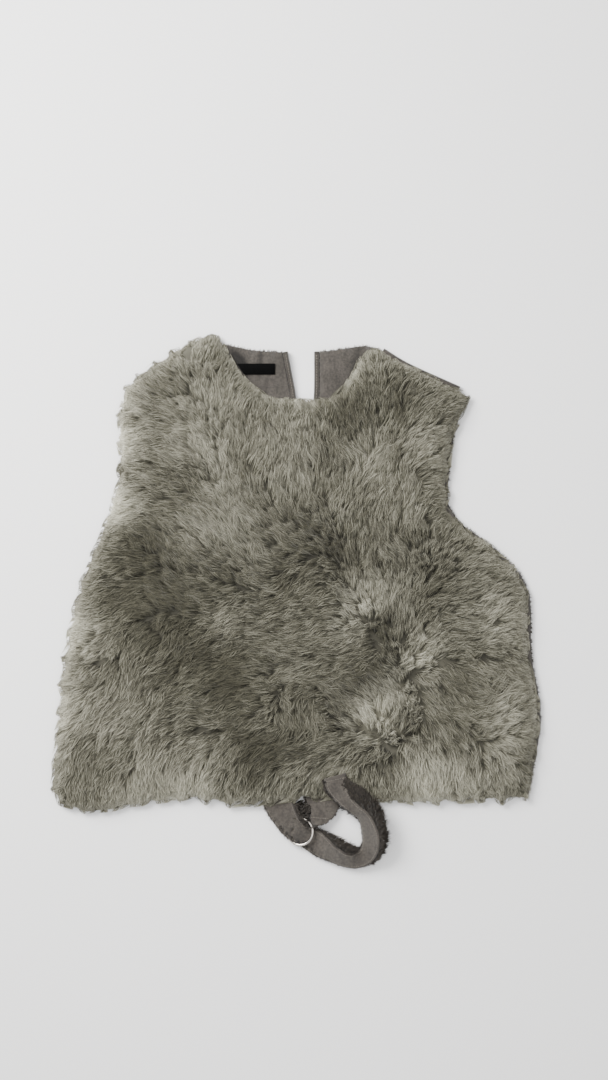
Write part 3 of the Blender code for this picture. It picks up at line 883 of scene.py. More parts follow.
@dataclass
class Combing:
    """Way and tone of the long pile at each place of the front."""

    border: np.ndarray
    edge_reach: float = 9.0 * MM
    edge_pull: float = 1.1
    ground_heading: float = 268.0
    ground_weight: float = 0.001
    tail: float = 0.05
    ground_tone: float = 0.19
    parting: tuple[float, float] = (0.15, 0.80)
    least_lay: float = 0.20
    fan_step: float = 3.0 * MM
    fan_length: float = 14.0 * MM
    contrast: float = 1.14
    neck: tuple[float, float, float, float] = (300.0, 342.0, 88.0, 60.0)
    neck_spill: float = 6.0 * MM
    # Painted highlight along the rim that faces this way.
    lit_way: tuple[float, float] = (-0.96, 0.28)
    rim_reach: float = 7.0 * MM
    painted_rim_highlight: float = 0.30
    spill_waves: tuple[float, float] = (560.0, 330.0)
    spill_end: float = 1.45
    spill_fade: float = 0.3

    def ways(self, places: np.ndarray) -> tuple[np.ndarray, np.ndarray]:
        """Return the unit comb direction at each place, and how well the marks agree on it.

        Args:
            places: X and Y of each place, in metres.

        Returns:
            X and Y of each direction, and the agreement from 0 to 1.
        """
        ground = math.radians(self.ground_heading)
        total = np.tile((math.cos(ground), math.sin(ground)), (len(places), 1)) * self.ground_weight
        weights = np.full(len(places), self.ground_weight)
        for mark in COMB:
            far = far_off(places, mark)
            weight = np.exp(-far / 2.0) + self.tail / (1.0 + far) ** 2
            turn = math.radians(mark.heading)
            total += weight[:, None] * np.array((math.cos(turn), math.sin(turn)))
            weights += weight
        size = np.maximum(np.linalg.norm(total, axis=1), TINY)
        return total / size[:, None], size / weights

    def headings(self, places: np.ndarray) -> tuple[np.ndarray, np.ndarray]:
        """Return the comb direction at each place and how flat the pile lies there.

        Args:
            places: X and Y of each place, in metres.

        Returns:
            X and Y of each unit direction, turned outwards at the border, and the lay, which is
            least where the pile parts or fans out and its strands stand up.
        """
        total, firm = self.ways(places)
        lay = np.clip((firm - self.parting[0]) / (self.parting[1] - self.parting[0]), 0.0, 1.0)
        fan = np.zeros(len(places))
        for axis in (0, 1):
            step = np.zeros(2)
            step[axis] = self.fan_step
            apart = self.ways(places + step)[0] - self.ways(places - step)[0]
            fan += apart[:, axis] / (2.0 * self.fan_step)
        lay /= 1.0 + np.maximum(fan, 0.0) * self.fan_length
        away, distance = self.to_border(places)
        edge = np.exp(-distance / self.edge_reach)
        total += away * self.edge_pull * edge[:, None]
        lay = np.maximum(self.least_lay + (1.0 - self.least_lay) * lay, edge)
        return total / np.maximum(np.linalg.norm(total, axis=1, keepdims=True), TINY), lay

    def to_border(self, places: np.ndarray) -> tuple[np.ndarray, np.ndarray]:
        """Find the nearest point of the border.

        Args:
            places: X and Y of each place, in metres.

        Returns:
            The unit direction to it from each place, and its distance.
        """
        start, along = self.border[:, 0], self.border[:, 1] - self.border[:, 0]
        gap = places[:, None] - start[None]
        share = np.clip((gap * along).sum(2) / (along**2).sum(1), 0.0, 1.0)
        offset = share[..., None] * along[None] - gap
        distance = np.linalg.norm(offset, axis=2)
        nearest = distance.argmin(1)
        rows = np.arange(len(places))
        away, distance = offset[rows, nearest], distance[rows, nearest]
        return away / np.maximum(distance, TINY)[:, None], distance

    def reaches(self, places: np.ndarray, headings: np.ndarray) -> np.ndarray:
        """Measure the room that the pile has before it crosses the border.

        Args:
            places: X and Y of each place, in metres.
            headings: Unit comb direction at each place.

        Returns:
            The distance from each place to the border along its heading.
        """
        start, along = self.border[:, 0], self.border[:, 1] - self.border[:, 0]
        gap = start[None] - places[:, None]
        cross = headings[:, None, 0] * along[None, :, 1] - headings[:, None, 1] * along[None, :, 0]
        cross = np.where(np.abs(cross) < PARALLEL, PARALLEL, cross)
        far = (gap[..., 0] * along[None, :, 1] - gap[..., 1] * along[None, :, 0]) / cross
        side = (gap[..., 0] * headings[:, None, 1] - gap[..., 1] * headings[:, None, 0]) / cross
        far = np.where((side >= 0.0) & (side <= 1.0) & (far > 0.0), far, 1.0)
        return far.min(1)

    def spill(self, places: np.ndarray) -> np.ndarray:
        """Find where the pile spills over the neck's edge.

        Args:
            places: X and Y of each place, in metres.

        Returns:
            How much further the pile reaches at each place.
        """
        x, y, half_width, half_height = self.neck
        middle = np.array(LAYOUT.pixel(x, y)[:2])
        off = (places - middle) / (np.array([half_width, half_height]) * LAYOUT.pixel_mm * MM)
        uneven = 0.6 + 0.4 * np.sin(places @ np.array(self.spill_waves))
        near = (self.spill_end - np.linalg.norm(off, axis=1)) / self.spill_fade
        return self.neck_spill * uneven * np.clip(near, 0.0, 1.0)

    def tones(self, places: np.ndarray) -> np.ndarray:
        """Add up the ground tone, the patches, which hold painted sheen and shade, and the painted
        highlight of the lit rim.

        Args:
            places: X and Y of each place, in metres.

        Returns:
            The tone at each place, from 0, deep, to 1, pale.
        """
        tone = np.full(len(places), self.ground_tone)
        for mark in TONE_AND_PAINTED_LIGHT_MARKS:
            tone += self.contrast * mark.shift * np.exp(-far_off(places, mark) / 2.0)
        # Painted highlight: the pile is paler near the border that faces the light.
        away, distance = self.to_border(places)
        lit = np.clip(away @ np.array(self.lit_way), 0.0, 1.0)
        return tone + self.painted_rim_highlight * lit * np.exp(-distance / self.rim_reach)


@dataclass
class LockShapes:
    """Set of small locks of strands, all one length unit long and one height unit high."""

    name: str
    kinds: int = 12
    strands: int = 16
    strand_width: float = 0.44 * MM
    spread: float = 2.9 * MM
    gather: float = 0.66
    bend: float = 2.6 * MM
    shade_spread: float = 0.26
    rows: tuple[float, ...] = (0.0, 0.5, 1.0)
    rise: tuple[float, ...] = (0.0, 0.90, 1.0)
    seed: int = 7

    def lock(self, number: int) -> Mesh:
        """Return the mesh of one lock.

        Args:
            number: Which of the kinds to make.

        Returns:
            A mesh of narrow ribbons whose map holds shade and length.
        """
        chance = np.random.default_rng(self.seed * 100 + number)
        bend = self.bend * math.sin(2.4 * number + 0.6)
        tip_rise = chance.uniform(0.70, 0.98)
        points, faces, marks = [], [], []
        last = len(self.rows) - 1
        for _ in range(self.strands):
            root_x, root_y = chance.uniform(-0.14, 0.12), chance.uniform(-1.0, 1.0) * self.spread
            end_x = chance.uniform(0.68, 1.06)
            end_y = root_y * self.gather + bend + chance.normal(0.0, 0.5) * MM
            wander = chance.normal(0.0, 0.6) * MM
            level = chance.uniform(0.60, 1.0)
            roll = chance.uniform(-0.022, 0.022)
            shade = chance.uniform(-1.0, 1.0) * self.shade_spread
            first = len(points)
            for row, (share, rise) in enumerate(zip(self.rows, self.rise)):
                x = root_x + (end_x - root_x) * share
                y = root_y * (1.0 - share**1.4) + end_y * share**1.4
                y += math.sin(math.pi * share) * (wander - 0.25 * bend)
                width = self.strand_width * (1.0 - 0.25 * abs(1.0 - 2.0 * share)) / 2.0
                if row == last:
                    points.append((x, y, tip_rise * level))
                    marks.append((shade, share))
                else:
                    points.append((x, y - width, rise * level - roll))
                    points.append((x, y + width, rise * level + roll))
                    marks += [(shade - 0.006, share), (shade + 0.006, share)]
            for row in range(last - 1):
                base = first + 2 * row
                faces.append((base, base + 2, base + 3, base + 1))
            base = first + 2 * (last - 1)
            faces.append((base, base + 2, base + 1))
        mesh = mesh_of(f"{self.name}_{number}", points, faces)
        layer = mesh.uv_layers.new(name=STRAND_MAP)
        for loop in mesh.loops:
            layer.data[loop.index].uv = marks[loop.vertex_index]
        return mesh

    def collection(self) -> bpy.types.Collection:
        """Return a collection of one object for each kind of lock."""
        group = bpy.data.collections.new(self.name)
        bpy.context.scene.collection.children.link(group)
        for number in range(self.kinds):
            group.objects.link(bpy.data.objects.new(f"{self.name}_{number}", self.lock(number)))
        return group


def clear_shapes(group: bpy.types.Collection) -> None:
    """Remove the shapes that a tree repeated, now that they are in its result."""
    for item in list(group.objects):
        bpy.data.objects.remove(item)
    bpy.data.collections.remove(group)


def long_pile_tree() -> GrowthTree:
    """Make the tree that covers a cloth with locks gathered into tufts.

    Returns:
        The tree, which needs the marks comb, tone, depth and reach on its base.
    """
    lengths = ("Tuft spacing", "Tuft length", "Cloth level", "Overhang", "Fringe")
    limits = ("Belt bottom", "Belt top")
    shares = ("Locks per square metre", "Gathering", "Sway", "Stray", "Clouding")
    tree = GrowthTree("long_pile", PILE_SOCKETS, lengths + limits + shares)
    given = tree.given
    skin = given["Geometry"]
    place = tree.add("GeometryNodeInputPosition").outputs[0]
    inputs = {
        "Mesh": skin,
        "Distance Min": given["Tuft spacing"],
        "Density Max": 20000.0,
        "Seed": given["Seed"],
    }
    scatter = "GeometryNodeDistributePointsOnFaces"
    tufts = tree.add(scatter, inputs, distribute_method="POISSON").outputs[0]
    swing = tree.maths("SUBTRACT", tree.noise(place, 34.0), 0.5)
    swing = tree.maths("MULTIPLY", swing, given["Sway"])
    swing = tree.maths("ADD", swing, tree.random(-0.22, 0.22, 3))
    comb = tree.mark("comb", "FLOAT_VECTOR")
    inputs = {"Vector": comb, "Angle": swing}
    aim = tree.add("ShaderNodeVectorRotate", inputs, rotation_type="Z_AXIS").outputs[0]
    tufts = tree.store(tufts, "aim", aim, "FLOAT_VECTOR")
    tufts = tree.store(tufts, "hue", tree.random(-0.08, 0.08, 5))

    up = tree.parts(place)[1]
    above, below = (
        tree.add("FunctionNodeCompare", {0: up, 1: given[name]}, operation=test).outputs[0]
        for name, test in zip(limits, ("GREATER_EQUAL", "LESS_THAN"))
    )
    belt = tree.add("FunctionNodeBooleanMath", {0: above, 1: below}, operation="AND").outputs[0]
    inputs = {
        "Mesh": skin,
        "Selection": belt,
        "Density": given["Locks per square metre"],
        "Seed": given["Seed"],
    }
    roots = tree.add(scatter, inputs).outputs[0]
    near = tree.add("GeometryNodeSampleNearest", {0: tufts, 1: place}).outputs[0]

    def of_tuft(value: Socket, kind: str = "FLOAT_VECTOR") -> Socket:
        """Return a value of the tuft that a root belongs to."""
        inputs = {"Geometry": tufts, "Index": near, "Value": value}
        return tree.add("GeometryNodeSampleIndex", inputs, data_type=kind).outputs[0]

    tip_aim = of_tuft(tree.mark("aim", "FLOAT_VECTOR"))
    ahead = tree.vectors("SCALE", tip_aim, given["Tuft length"])
    gathered = tree.vectors("SUBTRACT", tree.vectors("ADD", of_tuft(place), ahead), place)
    inputs = {0: given["Gathering"], 4: ahead, 5: gathered}
    way = tree.add("ShaderNodeMix", inputs, data_type="VECTOR").outputs[1]
    x, y, _ = tree.parts(way)
    lay = tree.vectors("LENGTH", comb)
    loose = tree.maths("DIVIDE", given["Stray"], tree.maths("MAXIMUM", lay, 0.2))
    stray = tree.maths("MULTIPLY", tree.random(-1.0, 1.0, 11), loose)
    angle = tree.maths("ADD", tree.maths("ARCTAN2", y, x), stray)
    length = tree.maths("MULTIPLY", tree.vectors("LENGTH", way), tree.random(0.62, 1.08, 13))
    room = tree.maths("ADD", tree.mark("reach"), given["Overhang"])
    length = tree.maths("MAXIMUM", tree.maths("MINIMUM", length, room), 5.0 * MM)

    shade = tree.maths("ADD", of_tuft(tree.mark("hue"), "FLOAT"), tree.random(-0.07, 0.07, 17))
    roots = tree.store(roots, "shade", shade)
    roots = tree.store(roots, "lift", tree.random(0.84, 1.04, 19))
    size = tree.joined(length, tree.random(0.7, 1.3, 29), 1.0)
    locks = tree.locks(roots, tree.joined(0.0, 0.0, angle), size, 23)
    strands = tree.strands(locks, "comb", "tone", "depth", "reach")

    x, y, z = tree.parts(place)
    level = given["Cloth level"]
    flat = tree.joined(x, y, level)
    beside = tree.add("GeometryNodeProximity", {0: skin, "Sample Position": flat})
    border, distance = beside.outputs[0], beside.outputs[1]
    past = tree.maths("DIVIDE", distance, given["Fringe"])
    held = tree.maths("DIVIDE", 1.0, tree.maths("ADD", past, 1.0))
    kept = tree.vectors("SCALE", tree.vectors("SUBTRACT", flat, border), held)
    flat = tree.vectors("ADD", border, kept)
    x, y, _ = tree.parts(flat)

    def under(name: str) -> Socket:
        """Return a mark of the cloth under a strand's own place."""
        inputs = {"Mesh": skin, "Sample Position": flat, "Value": tree.mark(name)}
        return tree.add("GeometryNodeSampleNearestSurface", inputs).outputs[0]

    rise = tree.maths("MULTIPLY", tree.maths("SUBTRACT", z, level), tree.mark("lift"))
    height = tree.maths("MULTIPLY_ADD", rise, under("depth"), level)
    droop = tree.maths("MINIMUM", tree.maths("MULTIPLY", distance, 0.5), 2.0 * MM)
    height = tree.maths("SUBTRACT", height, droop)
    cloud = tree.maths("SUBTRACT", tree.noise(place, 95.0), 0.5)
    cloud = tree.maths("MULTIPLY", cloud, given["Clouding"])
    # The tint holds the patches' tone, with their painted sheen, shade and rim highlight, and a
    # soft cloud.
    strands = tree.store(strands, "tint", tree.maths("ADD", under("tone"), cloud))
    inputs = {"Geometry": strands, "Position": tree.joined(x, y, height)}
    strands = tree.add("GeometryNodeSetPosition", inputs).outputs[0]
    tree.close_strands(strands, "shade", "tint")
    return tree


def write_comb(mesh: Mesh, ways: object) -> None:
    """Write the way of the pile on each point of a mesh, with its share of the pile's length."""
    mark = mesh.attributes.new("comb", "FLOAT_VECTOR", "POINT")
    mark.data.foreach_set("vector", np.array(ways).ravel())


@dataclass
class FurFront:
    """Front of the vest: a cloth backing with long combed pile."""

    flat: tuple[float, float] = (0.545, 0.515)
    backing_level: float = 6.45 * MM
    backing_thickness: float = 1.4 * MM
    locks_per_square_metre: float = 73000.0
    tuft_spacing: float = 11.0 * MM
    tuft_length: float = 27.0 * MM
    gathering: float = 0.46
    overhang: float = 1.5 * MM
    fringe: float = 5.0 * MM
    sway: float = 1.4
    stray: float = 0.30
    clouding: float = 0.50
    least_depth: float = 1.4 * MM
    root_share: float = 0.32
    root_tone: float = 0.15
    root_thickness: float = 0.6 * MM
    belts: tuple[float, ...] = (-10.0, 78.0, 160.0, 248.0, 360.0, 530.0)
    names: tuple[str, ...] = (
        "pile_hem",
        "pile_waist",
        "pile_middle",
        "pile_chest",
        "pile_shoulders",
    )
    form: NodeForm = field(default_factory=lambda: NodeForm("front"))
    border_gap: float = 1.6 * MM
    rim_draw: float = 0.45
    seed: int = 4

    @property
    def level(self) -> float:
        """Return the height of the backing's upper side."""
        return self.backing_level + self.backing_thickness

    def cloth(self, cuts: int = 0) -> Mesh:
        """Return the flat cloth, facing up.

        Args:
            cuts: How many times each of its edges is cut.

        Returns:
            The cloth's upper side.
        """
        mesh = self.form.faces("front_cloth", lambda face: face.normal.z > 0.02)
        with edited(mesh) as shape:
            if cuts:
                edges = shape.edges[:]
                bmesh.ops.subdivide_edges(shape, edges=edges, cuts=cuts, use_grid_fill=True)
            for vert in shape.verts:
                vert.co.z = self.level
            bmesh.ops.recalc_face_normals(shape, faces=shape.faces[:])
            if sum(face.normal.z for face in shape.faces) < 0.0:
                bmesh.ops.reverse_faces(shape, faces=shape.faces[:])
        return mesh

    def marked_base(self) -> Object:
        """Return the cloth as the base of the pile, with comb, tone, depth and reach on it."""
        mesh = self.cloth(1)
        places = np.zeros(len(mesh.vertices) * 3)
        mesh.vertices.foreach_get("co", places)
        places = places.reshape(-1, 3)[:, :2]
        combing = Combing(self.form.border())
        headings, lay = combing.headings(places)
        away, distance = combing.to_border(places)
        inner = places - away * np.clip(self.border_gap - distance, 0.0, None)[:, None]
        depth = [(self.form.top(*point) or 0.0) - self.level for point in inner]
        marks = {
            "tone": combing.tones(places),
            "depth": np.maximum(depth, self.least_depth),
            "reach": combing.reaches(places, headings) + combing.spill(places),
        }
        for name, values in marks.items():
            mesh.attributes.new(name, "FLOAT", "POINT").data.foreach_set("value", values)
        write_comb(mesh, np.column_stack([headings * lay[:, None], np.zeros(len(headings))]))
        return as_object("pile_base", mesh)

    def root(self, base: Object) -> Object:
        """Return the dense root of the pile, a low relief of the front under the strands.

        Args:
            base: The marked cloth.

        Returns:
            The root in the pile's own finish, with the tones of the patches on it, and painted
            shade where the pile parts and along its rim.
        """
        mesh = base.data.copy()
        mesh.name = "pile_root"
        tones = []
        marks = (mesh.attributes[name].data for name in ("tone", "depth", "comb"))
        for vert, tone, depth, comb in zip(mesh.vertices, *marks):
            # Painted shade: the root darkens where the pile lies less flat, at its partings and
            # fans.
            lay = comb.vector.length
            tones.append(tone.value * lay**1.5)
            vert.co.z += depth.value * self.root_share * lay
        with edited(mesh) as shape:
            rim = [vert for vert in shape.verts if vert.is_boundary]
            drawn_in = []
            for vert in rim:
                spokes = [edge for edge in vert.link_edges if not edge.is_boundary]
                inner = [edge.other_vert(vert).co for edge in spokes]
                drawn_in.append(sum(inner, Vector()) / len(inner) if inner else vert.co.copy())
            for vert, goal in zip(rim, drawn_in):
                vert.co = vert.co.lerp(goal, self.rim_draw)
                # Painted shade: the root's rim goes deepest, for the shadow at the pile's edge.
                tones[vert.index] = 0.0
        layer = mesh.uv_layers.new(name=STRAND_MAP)
        for loop in mesh.loops:
            tone = min(max(tones[loop.vertex_index], TONE_LIMITS[0]), TONE_LIMITS[1])
            layer.data[loop.index].uv = (tone, self.root_tone)
        for name in ("comb", "tone", "depth", "reach"):
            mesh.attributes.remove(mesh.attributes[name])
        smoothen(mesh)
        return finished("pile_root", mesh, Finish.LONG_PILE, thickness=self.root_thickness)

    def build(self) -> None:
        """Make the backing and the pile and hand them over."""
        base = self.marked_base()
        shapes = LockShapes("lock")
        group = shapes.collection()
        tree = long_pile_tree()
        values = {
            "Lock shapes": group,
            "Locks per square metre": self.locks_per_square_metre,
            "Tuft spacing": self.tuft_spacing,
            "Tuft length": self.tuft_length,
            "Cloth level": self.level,
            "Sway": self.sway,
            "Stray": self.stray,
            "Overhang": self.overhang,
            "Gathering": self.gathering,
            "Fringe": self.fringe,
            "Clouding": self.clouding,
            "Kinds": shapes.kinds - 1,
            "Seed": self.seed,
            "Finish": Finish.LONG_PILE.material(),
        }
        edges = [LAYOUT.pattern(0.0, y).y for y in self.belts]
        pile = [
            tree.grow(base, name, values | {"Belt bottom": bottom, "Belt top": top})
            for name, bottom, top in zip(self.names, edges, edges[1:])
        ]
        pile.append(self.root(base))
        bpy.data.objects.remove(base)
        clear_shapes(group)
        backing = finished(
            "front_backing", self.cloth(), Finish.BACKING, thickness=self.backing_thickness
        )
        for piece in [backing, *pile]:
            hand_over(piece, "long_pile_fur", "front")


def short_pile_tree() -> GrowthTree:
    """Make the tree that puts small locks on a base along its comb.

    Returns:
        The tree, which needs the mark comb on its base.
    """
    sizes = ("Length", "Lock width", "Height", "Floor gap")
    shares = ("Locks per square metre", "Stray", "Tone")
    tree = GrowthTree("short_pile", PILE_SOCKETS, sizes + shares)
    given = tree.given
    inputs = {
        "Mesh": given["Geometry"],
        "Density": given["Locks per square metre"],
        "Seed": given["Seed"],
    }
    roots = tree.add("GeometryNodeDistributePointsOnFaces", inputs).outputs[0]
    shade = tree.maths("ADD", given["Tone"], tree.random(-0.3, 0.3, 5))
    roots = tree.store(roots, "shade", shade)
    inputs = {0: (-1.0, -1.0, -1.0), 1: (1.0, 1.0, 1.0), 8: 7}
    jitter = tree.add("FunctionNodeRandomValue", inputs, data_type="FLOAT_VECTOR").outputs[0]
    lay = tree.mark("comb", "FLOAT_VECTOR")
    jitter = tree.vectors("SCALE", jitter, given["Stray"])
    way = tree.vectors("ADD", tree.vectors("NORMALIZE", lay), jitter)
    turn = tree.add("FunctionNodeAlignRotationToVector", {"Vector": way}, axis="X").outputs[0]
    length = tree.maths("MULTIPLY", given["Length"], tree.random(0.7, 1.15, 13))
    length = tree.maths("MULTIPLY", length, tree.vectors("LENGTH", lay))
    size = tree.joined(length, given["Lock width"], given["Height"])
    strands = tree.strands(tree.locks(roots, turn, size, 11), "comb")
    x, y, z = tree.parts(tree.add("GeometryNodeInputPosition").outputs[0])
    place = tree.joined(x, y, tree.maths("MAXIMUM", z, given["Floor gap"]))
    inputs = {"Geometry": strands, "Position": place}
    strands = tree.add("GeometryNodeSetPosition", inputs).outputs[0]
    tree.close_strands(strands, "shade")
    return tree


@dataclass(frozen=True)
class PileLook:
    """Density, form and tone of one stretch of short pile."""

    density: float
    length: float
    width: float
    height: float
    stray: float
    tone: float
    seed: int
    floor_gap: float = 0.2 * MM


class ShortPile:
    """Shapes and tree that all the short pile grows from."""

    def __init__(self) -> None:
        """Make the shapes of the locks and the tree."""
        self.shapes = LockShapes(
            "short_lock", kinds=6, strands=5, strand_width=0.9 * MM, bend=1.5 * MM, seed=3
        )
        self.group = self.shapes.collection()
        self.tree = short_pile_tree()

    def grow(self, name: str, mesh: Mesh, ways: list, look: PileLook) -> Object:
        """Grow one stretch of pile.

        Args:
            name: Name of the piece.
            mesh: Surface that the pile grows on.
            ways: Way of the pile at each point, with its share of the pile's length.
            look: Density, form and tone of the pile.

        Returns:
            The grown pile.
        """
        write_comb(mesh, ways)
        base = as_object(mesh.name, mesh)
        values = {
            "Lock shapes": self.group,
            "Locks per square metre": look.density,
            "Length": look.length,
            "Lock width": look.width,
            "Height": look.height,
            "Stray": look.stray,
            "Tone": look.tone,
            "Floor gap": look.floor_gap,
            "Kinds": self.shapes.kinds - 1,
            "Seed": look.seed,
            "Finish": Finish.SHORT_PILE.material(),
        }
        piece = self.tree.grow(base, name, values)
        bpy.data.objects.remove(base)
        return piece


def stitch_tree() -> GrowthTree:
    """Make the tree that sews a row of stitches along a line."""
    tree = GrowthTree("stitch_row", {"Stitch": "Object", "Finish": "Material"}, ("Pitch",))
    given = tree.given
    line = tree.add("GeometryNodeMeshToCurve", {"Mesh": given["Geometry"]}).outputs[0]
    inputs = {"Curve": line, "Length": given["Pitch"]}
    points = tree.add("GeometryNodeCurveToPoints", inputs, mode="LENGTH")
    inputs = {"Vector": points.outputs["Tangent"]}
    turn = tree.add("FunctionNodeAlignRotationToVector", inputs, axis="X")
    shape = tree.add("GeometryNodeObjectInfo", {0: given["Stitch"]}).outputs["Geometry"]
    inputs = {"Points": points.outputs[0], "Instance": shape, "Rotation": turn.outputs[0]}
    stitches = tree.add("GeometryNodeInstanceOnPoints", inputs).outputs[0]
    tree.close(tree.add("GeometryNodeRealizeInstances", {0: stitches}).outputs[0], given["Finish"])
    return tree


@dataclass(frozen=True)
class StitchMaker:
    """Rows of one length of stitch."""

    length: float = 2.1 * MM
    thickness: float = 0.5 * MM
    pitch: float = 3.0 * MM

    def shape(self) -> Object:
        """Return one stitch, a short rounded length of thread along X."""
        mesh = bpy.data.meshes.new("stitch")
        with edited(mesh) as shape:
            bmesh.ops.create_uvsphere(shape, u_segments=6, v_segments=4, radius=0.5)
            turn = Matrix.Rotation(math.pi / 2.0, 4, "Y")
            size = Matrix.Diagonal((self.length, self.thickness, self.thickness * 0.8, 1.0))
            bmesh.ops.transform(shape, matrix=size @ turn, verts=shape.verts[:])
        smoothen(mesh)
        return as_object("stitch", mesh)

    def rows(self, name: str, lines: list[list[Vector]]) -> Object:
        """Sew stitches along lines.

        Args:
            name: Name of the piece.
            lines: Points of each line, in the frame.

        Returns:
            All the stitches as one object.
        """
        points, edges = [], []
        for line in lines:
            edges += [(len(points) + step, len(points) + step + 1) for step in range(len(line) - 1)]
            points += [tuple(point) for point in line]
        mesh = bpy.data.meshes.new(name + "_line")
        mesh.from_pydata(points, edges, [])
        base, stitch = as_object(name + "_line", mesh), self.shape()
        values = {"Stitch": stitch, "Pitch": self.pitch, "Finish": Finish.THREAD.material()}
        piece = stitch_tree().grow(base, name, values)
        bpy.data.objects.remove(base)
        bpy.data.objects.remove(stitch)
        return piece


class Crease(NamedTuple):
    """Soft fold in a panel, from one pattern place to another, depths above 0 going down."""

    x: float
    y: float
    end_x: float
    end_y: float
    width: float
    depth: float


def crease_drop(x: float, y: float, creases: tuple[Crease, ...]) -> float:
    """Return how far the creases lower a pattern place, in millimetres.

    Args:
        x: Pattern place across, in millimetres.
        y: Pattern place up, in millimetres.
        creases: The panel's creases.

    Returns:
        The drop, less towards a crease's ends.
    """
    drop = 0.0
    for row in creases:
        along = Vector((row.end_x - row.x, row.end_y - row.y))
        offset = Vector((x - row.x, y - row.y))
        share = min(max(offset.dot(along) / along.length_squared, 0.0), 1.0)
        off = math.hypot(x - row.x - along.x * share, y - row.y - along.y * share)
        uneven = 0.72 + 0.28 * math.sin(7.0 * share + row.x)
        ends = math.sin(math.pi * (0.12 + 0.76 * share))
        drop += row.depth * uneven * ends * math.exp(-((off / row.width) ** 2))
    return drop


class Side(Enum):
    """Left and right half of the back, as the garment is seen."""

    LEFT = "left"
    RIGHT = "right"


